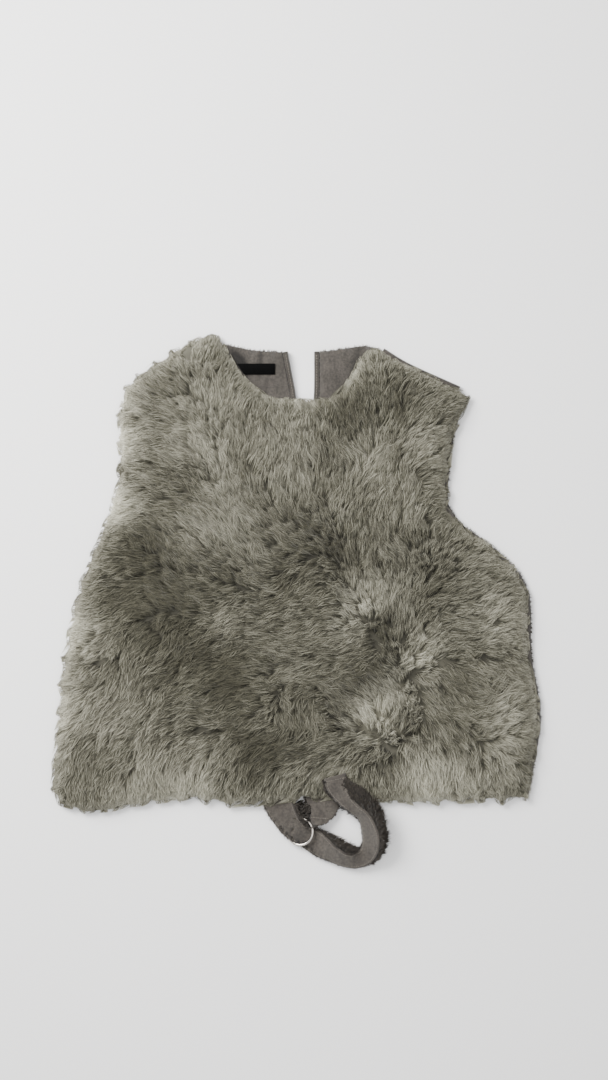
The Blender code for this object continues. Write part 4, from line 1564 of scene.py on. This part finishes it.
@dataclass
class BackPanel:
    """One back panel: suede on the inner side, short pile on the outer side, with its edges."""

    side: Side
    flat: tuple[float, float]
    creases: tuple[Crease, ...]
    suede_thickness: float = 1.3 * MM
    mesh_size: float = 14.0 * MM
    fine_mesh: float = 2.2 * MM
    rounds: int = 7
    deepest: float = 1.1
    pile_share: float = 0.70
    valley: tuple[float, float] = (0.2, 2.0)
    pile_inset: float = 3.6 * MM
    look: PileLook = PileLook(230000.0, 6.5 * MM, 0.55, 0.8 * MM, 0.35, 0.4, 3)

    def __post_init__(self) -> None:
        """Read the panel's form."""
        self.node = f"back_{self.side.value}"
        self.form = NodeForm(self.node)

    def drop(self, place: Vector) -> float:
        """Return how deep the panel's creases are at a place, in millimetres."""
        x, y = (place.x - LAYOUT.shift_x) / MM, (place.y - LAYOUT.shift_y) / MM
        return crease_drop(x, y, self.creases)

    def suede(self) -> Object:
        """Return the suede side as a thin creased shell, with painted shade marked on it along the
        creases.
        """
        name = f"suede_{self.side.value}"
        mesh = self.form.faces(name, lambda face: face.normal.z > 0.3)
        with edited(mesh) as shape:
            for _ in range(self.rounds):
                long = []
                for edge in shape.edges:
                    middle = (edge.verts[0].co + edge.verts[1].co) / 2.0
                    limit = self.fine_mesh if self.drop(middle) > 0.05 else self.mesh_size
                    if edge.calc_length() > limit:
                        long.append(edge)
                bmesh.ops.subdivide_edges(shape, edges=long, cuts=1)
                bmesh.ops.triangulate(shape, faces=shape.faces[:])
            drops = np.array([self.drop(vert.co) for vert in shape.verts])
            for vert, drop in zip(shape.verts, drops):
                vert.co.z -= min(drop, self.deepest) * MM
        # Painted shade along the creases, deeper where they drop further.
        painted_crease_shades = np.clip((drops - self.valley[0]) / self.valley[1], 0.0, 1.0)
        mesh.attributes.new("valley", "FLOAT", "POINT").data.foreach_set("value", painted_crease_shades)
        smoothen(mesh)
        return finished(name, mesh, Finish.SUEDE, thickness=self.suede_thickness)

    def pile_body(self) -> Object:
        """Return the dense root of the short pile under the suede."""
        name = f"short_pile_body_{self.side.value}"
        mesh = self.form.faces(name)
        for vert in mesh.vertices:
            vert.co.z *= self.pile_share
        return finished(name, mesh, Finish.BACKING)

    def pile_edge(self, pile: ShortPile) -> Object:
        """Return the short pile that shows round the panel's edge."""
        name = f"short_pile_{self.side.value}"
        mesh = self.form.faces(name + "_base", lambda face: abs(face.normal.z) < 0.75)
        with edited(mesh) as shape:
            shape.normal_update()
            ways = [Vector((v.normal.x, v.normal.y, -0.10)).normalized()[:] for v in shape.verts]
            for vert in shape.verts:
                vert.co.z *= self.pile_share
                vert.co -= Vector((vert.normal.x, vert.normal.y, 0.0)) * self.pile_inset
        return pile.grow(name, mesh, ways, self.look)

    def edge_piece(self, node: str, rounding: float) -> Object:
        """Return a turned edge: the node's form with soft arrises and a little waviness.

        Args:
            node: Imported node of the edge.
            rounding: Radius of its arrises.

        Returns:
            The edge in its own finish.
        """
        mesh = NodeForm(node).faces(node + "_cloth")
        for vert in mesh.vertices:
            if vert.co.z > 5.0 * MM:
                vert.co.z += 0.12 * MM * math.sin(vert.co.y * 310.0 + vert.co.x * 90.0)
        return finished(node + "_cloth", mesh, Finish.EDGE, rounding=rounding, arris=40.0)

    def stitches(self, node: str, name: str, inset: float) -> Object:
        """Return a topstitch that follows the middle of an edge piece.

        Args:
            node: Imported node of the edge.
            name: Name of the piece.
            inset: How far the stitches' middle lies above the cloth.

        Returns:
            The row of stitches.
        """
        form = NodeForm(node)
        low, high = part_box(node)
        run = 1 if high.y - low.y > high.x - low.x else 0
        line, last = [], 59
        for step in range(last + 1):
            place = [0.0, 0.0]
            place[run] = low[run] + (high[run] - low[run]) * (0.01 + 0.98 * step / last)
            hits = []
            for across in np.linspace(low[1 - run], high[1 - run], last + 1):
                place[1 - run] = across
                if form.top(*place) is not None:
                    hits.append(across)
            if hits:
                place[1 - run] = hits[0] + (hits[-1] - hits[0]) * 0.5
                line.append(Vector((*place, form.top(*place) + inset)))
        return StitchMaker().rows(name, [line])

    def build(self, pile: ShortPile) -> None:
        """Make the panel's pieces and hand them over.

        Args:
            pile: Grower of the short pile.
        """
        side = self.side.value
        suede, *rest = [
            hand_over(piece, "taupe_suede", self.node)
            for piece in (self.suede(), self.pile_body(), self.pile_edge(pile))
        ]
        edges = ((f"edge_band_{side}", 0.35 * MM), (f"shoulder_strip_{side}", 0.5 * MM))
        for node, rounding in edges:
            rest.append(hand_over(self.edge_piece(node, rounding), "turned_suede_edge", node))
        seam = self.stitches(f"edge_band_{side}", f"band_stitches_{side}", 0.05 * MM)
        rest.append(hand_over(seam, "turned_suede_edge"))


@dataclass
class NeckLabel:
    """Bare black woven label on the left back panel."""

    node: str = "neck_label"
    rounding: float = 0.2 * MM

    def build(self) -> None:
        """Make the label with soft arrises and hand it over."""
        mesh = NodeForm(self.node).faces("label_cloth")
        piece = finished("label_cloth", mesh, Finish.LABEL, rounding=self.rounding)
        hand_over(piece, "black_woven_label", self.node)


class StrapRow(NamedTuple):
    """Section of the strap: middle of its face, width, bank in degrees and thickness.

    The turn is the share of the width where the suede is turned under and the pile shows: from
    the outer edge where it is above 0, from the inner edge where it is below.
    """

    x: float
    y: float
    z: float
    width: float
    bank: float
    thickness: float
    gather: float
    turn: float = 0.0


STRAP = [
    StrapRow(-29.0, 0.2, 5.5, 34.0, 0.0, 4.9, 0.0),
    StrapRow(-28.3, -4.8, 5.7, 33.0, 0.0, 4.9, 0.2),
    StrapRow(-25.4, -11.8, 6.9, 30.5, 0.0, 4.9, 0.5),
    StrapRow(-20.8, -20.0, 10.2, 27.5, 0.0, 4.4, 0.9),
    StrapRow(-14.8, -28.8, 10.8, 26.0, 0.0, 4.2, 1.4),
    StrapRow(-6.0, -37.0, 9.4, 23.5, 0.0, 4.0, 1.6),
    StrapRow(4.6, -43.0, 6.4, 24.5, 0.0, 3.6, 1.0),
    StrapRow(15.5, -48.8, 8.2, 28.0, -6.0, 4.6, 0.3, -0.06),
    StrapRow(31.0, -57.5, 13.2, 28.0, -26.0, 6.6, 0.0, -0.20),
    StrapRow(46.5, -64.5, 13.4, 25.0, -24.0, 7.2, 0.0, -0.26),
    StrapRow(58.0, -66.5, 11.2, 20.0, -8.0, 8.0, 0.0, -0.06),
    StrapRow(68.0, -61.5, 12.6, 19.5, 14.0, 9.0, 0.0),
    StrapRow(72.8, -50.0, 16.0, 24.0, 36.0, 9.5, 0.0, 0.04),
    StrapRow(72.6, -35.0, 18.2, 27.0, 43.0, 10.0, 0.0, 0.10),
    StrapRow(68.5, -16.5, 19.2, 28.0, 36.0, 9.0, 0.0, 0.38),
    StrapRow(59.0, -4.8, 20.0, 28.0, 20.0, 7.0, 0.0, 0.50),
    StrapRow(48.5, 4.4, 18.8, 28.0, 8.0, 5.2, 0.0, 0.40),
    StrapRow(37.6, 15.4, 17.4, 26.5, 0.0, 4.7, 0.0, 0.16),
    StrapRow(34.0, 26.8, 16.8, 24.5, 0.0, 4.6, 0.0, 0.0),
]


def soft_value(values: tuple[float, ...], at: float) -> float:
    """Return the value at a place on a soft curve through evenly numbered rows.

    Args:
        values: The rows' values.
        at: Place, counted in rows.

    Returns:
        The value there.
    """
    last = len(values) - 1
    index = min(max(int(at), 0), last - 1)

    def slope(row: int) -> float:
        """Return the curve's slope at a row."""
        before, after = max(row - 1, 0), min(row + 1, last)
        return (values[after] - values[before]) / (after - before)

    t = at - index
    low, high = values[index], values[index + 1]
    return (
        (2 * t**3 - 3 * t**2 + 1) * low
        + (t**3 - 2 * t**2 + t) * slope(index)
        + (3 * t**2 - 2 * t**3) * high
        + (t**3 - t**2) * slope(index + 1)
    )


@dataclass
class HemStrap:
    """Strap of the left hem, through the ring and round its loop: suede face over short pile."""

    sections: int = 150
    steps: int = 18
    suede_thickness: float = 1.2
    edge_turn: float = 0.4
    pleats: int = 3
    crumple: float = 0.28
    loop_growth: float = 0.9
    plain_edge: float = 2.6
    tuck: float = 0.8
    tuck_share: float = 0.06
    seam_inset: float = 2.4
    flat: tuple[float, float] = (0.21, 0.036)
    look: PileLook = PileLook(420000.0, 5.2 * MM, 0.6, 0.7 * MM, 0.4, 0.15, 6)
    creases: tuple[Crease, ...] = (
        Crease(-8.1, -29.3, -17.5, -39.5, 1.5, 2.4),
        Crease(-17.0, -19.6, -8.5, -21.8, 1.3, 1.7),
        Crease(-17.0, -25.2, -9.0, -26.8, 1.3, 1.7),
        Crease(-9.5, -21.2, -1.0, -24.0, 1.4, 2.2),
        Crease(0.5, -47.5, 12.0, -44.0, 2.0, 1.0),
    )

    def frames(self) -> list[tuple[Vector, Vector, Vector, Vector, StrapRow]]:
        """Return the middle, the ways across, out and along, and the row of each section."""
        last = len(STRAP) - 1
        columns = list(zip(*STRAP))
        places = [last * step / (self.sections - 1) for step in range(self.sections)]
        rows = [StrapRow(*(soft_value(column, place) for column in columns)) for place in places]
        centres = [Vector((row.x, row.y, row.z)) for row in rows]
        frames = []
        for index, row in enumerate(rows):
            before, after = centres[max(index - 1, 0)], centres[min(index + 1, len(rows) - 1)]
            heading = (after - before).normalized()
            level = heading.cross(Vector((0.0, 0.0, 1.0))).normalized()
            across = Matrix.Rotation(-math.radians(row.bank), 3, heading) @ level
            out = across.cross(heading).normalized()
            frames.append((centres[index], across, out, heading, row))
        return frames

    def face_drop(self, share: float, place: float, row: StrapRow) -> float:
        """Return how far the suede face lies under its section's top.

        Args:
            share: Place across, from -0.5 to 0.5.
            place: Place along, from 0 to 1.
            row: The section's row.

        Returns:
            The drop in millimetres, from pleats, rolled edges and crumpling.
        """
        fold = 0.5 - 0.5 * math.cos(2.0 * math.pi * self.pleats * (share / 0.94 + 0.5))
        pleats = row.gather * fold * (0.85 + 0.15 * math.sin(19.0 * place + 5.0 * share))
        roll = self.edge_turn * max(abs(share) - 0.42, 0.0) ** 2 / 0.0064
        wave = math.sin(46.0 * place + 6.0 * share) + math.sin(83.0 * place - 9.0 * share + 1.0)
        seam_gap = (0.5 - abs(share)) * row.width - self.seam_inset
        seam = 0.18 * math.exp(-((seam_gap / 0.7) ** 2))
        return pleats + roll + self.crumple * (0.5 + 0.25 * wave) + seam

    def suede(self) -> Object:
        """Return the suede side of the strap as a thin closed shell."""
        frames = self.frames()
        last = len(frames) - 1
        ring = 2 * (self.steps + 1)
        points = []
        for index, (centre, across, out, _, row) in enumerate(frames):
            outer, inner = max(row.turn, 0.0), max(-row.turn, 0.0)
            upper, lower = [], []
            for step in range(self.steps + 1):
                share = -0.5 + inner + (1.0 - abs(row.turn)) * step / self.steps
                point = centre + across * (row.width * share)
                beyond = max(share + outer, inner - share) - (0.5 - self.tuck_share)
                drop = self.face_drop(share, index / last, row)
                drop += crease_drop(point.x, point.y, self.creases)
                point -= out * (drop + self.tuck * max(beyond, 0.0) / self.tuck_share)
                upper.append(LAYOUT.pattern(*point))
                lower.append(LAYOUT.pattern(*(point - out * self.suede_thickness)))
            points += upper + lower[::-1]
        faces = tube(len(frames), ring)
        for step in range(self.steps):
            for start, turned in ((0, False), (last * ring, True)):
                end = start + ring - 1 - step
                cap = (start + step, start + step + 1, end - 1, end)
                faces.append(cap[::-1] if turned else cap)
        return closed("strap_suede", points, faces, Finish.STRAP)

    def pile_body(self) -> Object:
        """Return the dense root of the strap's pile, under its suede side."""
        frames = self.frames()[::2]
        left = ((-0.49, 0.3), (-0.47, 0.72), (-0.36, 0.93))
        section = left + ((0.36, 0.93), (0.47, 0.72), (0.49, 0.26))
        points = []
        for centre, across, out, _, row in frames:
            for share, depth in section:
                sink = max(row.thickness * depth, self.suede_thickness * 0.9 + row.gather)
                points.append(LAYOUT.pattern(*(centre + across * row.width * share - out * sink)))
        size = (len(frames), len(section))
        return closed("strap_pile_body", points, tube(*size) + tube_ends(*size), Finish.BACKING)

    def pile(self, pile: ShortPile) -> Object:
        """Return the strap's pile, which shows along both edges and at its end.

        Args:
            pile: Grower of the short pile.

        Returns:
            The grown pile.
        """
        points, faces, ways = [], [], []
        frames = self.frames()[::3]
        for side in (-1.0, 1.0):
            first = len(points)
            for centre, across, out, heading, row in frames:
                turned = max(row.bank * side, 0.0) / 43.0
                hidden = self.plain_edge * max(side, 0.0) * max(1.0 - 3.0 * turned, 0.0)
                inner = 0.42 - max(row.turn * side, 0.0)
                profile = ((0.44, 0.95), (0.485, 0.6), (0.485, 0.3), (0.45, 0.22), (inner, 0.2))
                for share, depth in profile:
                    sink = max(row.thickness * depth, 0.9)
                    place = side * (row.width * share - hidden)
                    points.append(LAYOUT.pattern(*(centre + across * place - out * sink)))
                    way = across * side * 0.75 + heading * 0.6 - out * (0.35 * depth - 0.1)
                    ways.append((way.normalized() * (1.0 + self.loop_growth * turned))[:])
            for index in range(len(frames) - 1):
                for step in range(4):
                    a = first + index * 5 + step
                    faces.append((a, a + 1, a + 6, a + 5))
        return pile.grow("strap_pile", mesh_of("strap_pile_base", points, faces), ways, self.look)

    def stitches(self) -> Object:
        """Return the topstitch along both edges and across the free end."""
        frames = self.frames()

        last = len(frames) - 1
        end = last - 3

        def seam_point(index: int, way: float, place: float, turn: float = 0.0) -> Vector:
            """Return the stitches' place on a section, at a share of the way to its edge."""
            centre, across, out, _, row = frames[index]
            share = way * (0.5 - self.seam_inset / row.width - max(turn * way, 0.0))
            drop = self.face_drop(share, place, row) - 0.05
            return LAYOUT.pattern(*(centre + across * row.width * share - out * drop))

        lines = [
            [
                seam_point(index, side, index / last, section[-1].turn)
                for index, section in enumerate(frames[: end + 1])
            ]
            for side in (-1.0, 1.0)
        ]
        lines.append([seam_point(end, step / 4.0 - 1.0, 1.0) for step in range(9)])
        return StitchMaker(1.7 * MM, 0.35 * MM, 2.5 * MM).rows("strap_stitches", lines)

    def build(self, pile: ShortPile) -> None:
        """Make the strap's pieces and hand them over."""
        suede, *rest = [
            hand_over(piece, "strap_suede", "strap")
            for piece in (self.suede(), self.pile_body(), self.pile(pile), self.stitches())
        ]


@dataclass
class StrapTab:
    """Tab of the right hem, folded round the ring and topstitched."""

    node: str = "strap_tab"
    seam_low: float = -19.5
    groove: float = 3.0 * MM
    fold: tuple[tuple[float, float, float, float], ...] = (
        (-6.5, -3.5, 3.4, 3.0),
        (-2.5, -9.0, 3.6, 4.6),
        (1.5, -15.0, 3.6, 5.2),
        (5.5, -21.0, 3.4, 4.8),
        (9.5, -26.5, 3.2, 3.8),
        (13.0, -30.5, 3.0, 2.2),
    )
    fold_sides: int = 14
    floor_gap: float = 0.4 * MM
    edge_inset: float = 1.0 * MM
    edge_drop: float = 0.8 * MM
    seam: tuple[float, float, int] = (8.5, 17.5, 13)
    look: PileLook = PileLook(900000.0, 5.0 * MM, 0.6, 0.7 * MM, 0.5, 0.2, 9)

    def pile(self, folded: Object, pile: ShortPile) -> Object:
        """Return the dark pile of the tab's outer side, which shows round its edges.

        Args:
            folded: Root of the folded pile, which gets strands too.
            pile: Grower of the short pile.

        Returns:
            The grown pile.
        """
        mesh = NodeForm(self.node).faces("tab_pile_base", lambda face: abs(face.normal.z) < 0.75)
        edge = len(mesh.vertices)
        ways = []
        with edited(mesh) as shape:
            shape.from_mesh(folded.data)
            shape.normal_update()
            shape.verts.index_update()
            for vert in shape.verts:
                if vert.index < edge:
                    way = Vector((vert.normal.x, vert.normal.y - 0.3, 0.1)).normalized()
                    ways.append((way * (0.6 + max(-vert.normal.x, 0.0)))[:])
                    vert.co -= Vector((vert.normal.x, vert.normal.y, 0.0)) * self.edge_inset
                    vert.co.z -= self.edge_drop
                else:
                    # Short strands on the fold, so that its painted shade shows between them.
                    way = vert.normal * 0.5 + Vector((0.45, -0.75, 0.0))
                    ways.append((way.normalized() * 0.3)[:])
        return pile.grow("tab_pile", mesh, ways, self.look)

    def folded_pile(self) -> Object:
        """Return the root of the pile that is folded in between the strap and the tab, in
        near-black painted shade.
        """
        points = []
        for row, (x, y, z, radius) in enumerate(self.fold):
            for side in range(self.fold_sides):
                angle = 2.0 * math.pi * side / self.fold_sides
                out = radius * (1.0 + 0.16 * math.sin(2.7 * row + 3.0 * angle)) * math.cos(angle)
                lift = 0.72 * radius * math.sin(angle)
                point = LAYOUT.pattern(x + 0.82 * out, y + 0.57 * out, z + lift)
                point.z = max(point.z, self.floor_gap)
                points.append(point)
        size = (len(self.fold), self.fold_sides)
        return closed("folded_pile_root", points, tube(*size) + tube_ends(*size), Finish.SHADE)

    def cloth(self) -> Object:
        """Return the tab's cloth, pressed down under the ring's wire."""
        mesh = NodeForm(self.node).faces("tab_cloth")
        ring = StrapRing()
        with edited(mesh) as shape:
            bmesh.ops.subdivide_edges(shape, edges=shape.edges[:], cuts=2, use_grid_fill=True)
            for vert in shape.verts:
                gap, level = ring.over(vert.co)
                if gap < self.groove:
                    vert.co.z = min(vert.co.z, max(level - 1.5 * ring.wire * MM, 1.0 * MM))
        return finished("tab_cloth", mesh, Finish.STRAP, rounding=0.45 * MM)

    def stitches(self) -> Object:
        """Return the topstitch across the tab."""
        form = NodeForm(self.node)
        start, length, last = self.seam
        line = []
        for step in range(last + 1):
            across = length * step / last
            place = LAYOUT.pattern(start + across, self.seam_low - 0.10 * across)
            top = form.top(place.x, place.y)
            if top is not None:
                line.append(Vector((place.x, place.y, top + 0.05 * MM)))
        return StitchMaker(1.7 * MM, 0.4 * MM, 2.4 * MM).rows("tab_stitches", [line])

    def build(self, pile: ShortPile) -> None:
        """Make the tab, its seam and its pile and hand them over."""
        piece, seam, folded = self.cloth(), self.stitches(), self.folded_pile()
        strands = self.pile(folded, pile)
        for item in (piece, seam, strands, folded):
            hand_over(item, "strap_suede", self.node)


@dataclass
class StrapRing:
    """Round wire ring of polished metal."""

    centre: tuple[float, float, float] = (-4.4, -35.8, 7.0)
    radius: float = 14.5
    wire: float = 1.4
    tilt: float = math.radians(17.0)
    heading: float = math.radians(-20.0)
    turns: int = 96
    sides: int = 16

    def over(self, place: Vector) -> tuple[float, float]:
        """Return how far a place is from the wire, seen from above, and the wire's height there.

        Args:
            place: A place in the frame.

        Returns:
            The gap in plan and the height of the wire's middle, in metres.
        """
        centre = LAYOUT.pattern(*self.centre)
        offset = (place - centre).to_2d()
        angle = math.atan2(offset.y, offset.x)
        rise = self.radius * MM * math.sin(self.tilt) * math.cos(angle - self.heading)
        return abs(offset.length - self.radius * MM), centre.z + rise

    def build(self) -> None:
        """Make the ring's finer form and hand it over."""
        axis = Vector((-math.sin(self.heading), math.cos(self.heading), 0.0))
        lean = Matrix.Rotation(-self.tilt, 3, axis)
        points = []
        for turn in range(self.turns):
            angle = 2.0 * math.pi * turn / self.turns
            spoke = Vector((math.cos(angle), math.sin(angle), 0.0))
            for side in range(self.sides):
                roll = 2.0 * math.pi * side / self.sides
                point = spoke * (self.radius + self.wire * math.cos(roll))
                point.z = self.wire * math.sin(roll)
                points.append(LAYOUT.pattern(*(lean @ point + Vector(self.centre))))
        faces = tube(self.turns, self.sides, endless=True)
        piece = closed("ring_polished", points, faces, Finish.RING)
        hand_over(piece, "polished_ring_metal", "ring")


@dataclass(frozen=True)
class SoftBox:
    """Square soft light that points at a place."""

    name: str
    place: tuple[float, float, float]
    side: float
    power: float
    tint: tuple[float, float, float] = (1.0, 1.0, 1.0)

    def hang(self, at: Vector) -> None:
        """Make the light and turn it to a place."""
        light = bpy.data.lights.new(self.name, "AREA")
        light.shape, light.size = "SQUARE", self.side
        light.energy, light.color = self.power, self.tint
        item = bpy.data.objects.new(self.name, light)
        bpy.context.scene.collection.objects.link(item)
        item.location = Vector(self.place) + at
        item.rotation_euler = (-Vector(self.place)).to_track_quat("-Z", "Y").to_euler()


@dataclass
class Studio:
    """Pale floor, soft light and a camera straight above."""

    floor_side: float = 6.0
    camera_height: float = 2.324
    lens: float = 70.0
    ambient: float = 0.88
    lights: tuple[SoftBox, ...] = (
        SoftBox("key", (-0.95, 0.75, 1.15), 0.9, 66.0, (1.0, 0.99, 0.97)),
        SoftBox("overhead", (0.1, -0.1, 2.0), 1.6, 18.0),
    )

    def build(self) -> None:
        """Make the floor, the lights and the camera."""
        half = self.floor_side / 2.0
        corners = [(-half, -half, 0.0), (half, -half, 0.0), (half, half, 0.0), (-half, half, 0.0)]
        floor = as_object("floor", mesh_of("floor", corners, [(0, 1, 2, 3)], smooth=False))
        floor.data.materials.append(Finish.FLOOR.material())
        world = bpy.data.worlds.new("studio")
        world.use_nodes = True
        world.node_tree.nodes["Background"].inputs["Color"].default_value = (1.0, 1.0, 1.0, 1.0)
        world.node_tree.nodes["Background"].inputs["Strength"].default_value = self.ambient
        bpy.context.scene.world = world
        aim = LAYOUT.pixel(304.0, 540.0)
        for light in self.lights:
            light.hang(aim)
        camera = bpy.data.cameras.new("camera")
        camera.lens, camera.clip_start, camera.clip_end = self.lens, 0.05, 20.0
        item = bpy.data.objects.new("camera", camera)
        bpy.context.scene.collection.objects.link(item)
        item.location = (aim.x, aim.y, self.camera_height)
        bpy.context.scene.camera = item


def main() -> None:
    """Build and dress every part of the vest."""
    logging.basicConfig(level=logging.INFO, format="%(name)s: %(message)s")
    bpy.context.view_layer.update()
    FurFront().build()
    pile = ShortPile()
    panels = [
        BackPanel(
            Side.LEFT,
            (0.26, 0.50),
            (
                Crease(-84.0, 501.0, -66.0, 474.0, 6.5, 3.4),
                Crease(-68.0, 484.0, -61.0, 452.0, 5.0, 2.8),
                Crease(-45.0, 505.0, -52.0, 455.0, 3.6, 1.5),
                Crease(-38.0, 470.0, -46.0, 430.0, 4.2, 1.3),
                Crease(-30.0, 466.0, -34.0, 425.0, 3.4, 0.8),
                Crease(-26.0, 497.0, -20.0, 440.0, 5.0, 0.6),
            ),
        ),
        BackPanel(
            Side.RIGHT,
            (0.255, 0.50),
            (
                Crease(34.0, 495.0, 42.0, 430.0, 5.0, 0.9),
                Crease(62.0, 500.0, 48.0, 440.0, 4.2, 1.3),
                Crease(50.0, 470.0, 40.0, 430.0, 3.6, 0.8),
            ),
        ),
    ]
    for panel in panels:
        panel.build(pile)
    NeckLabel().build()
    HemStrap().build(pile)
    StrapTab().build(pile)
    clear_shapes(pile.group)
    StrapRing().build()
    Studio().build()


if __name__ == "__main__":
    main()
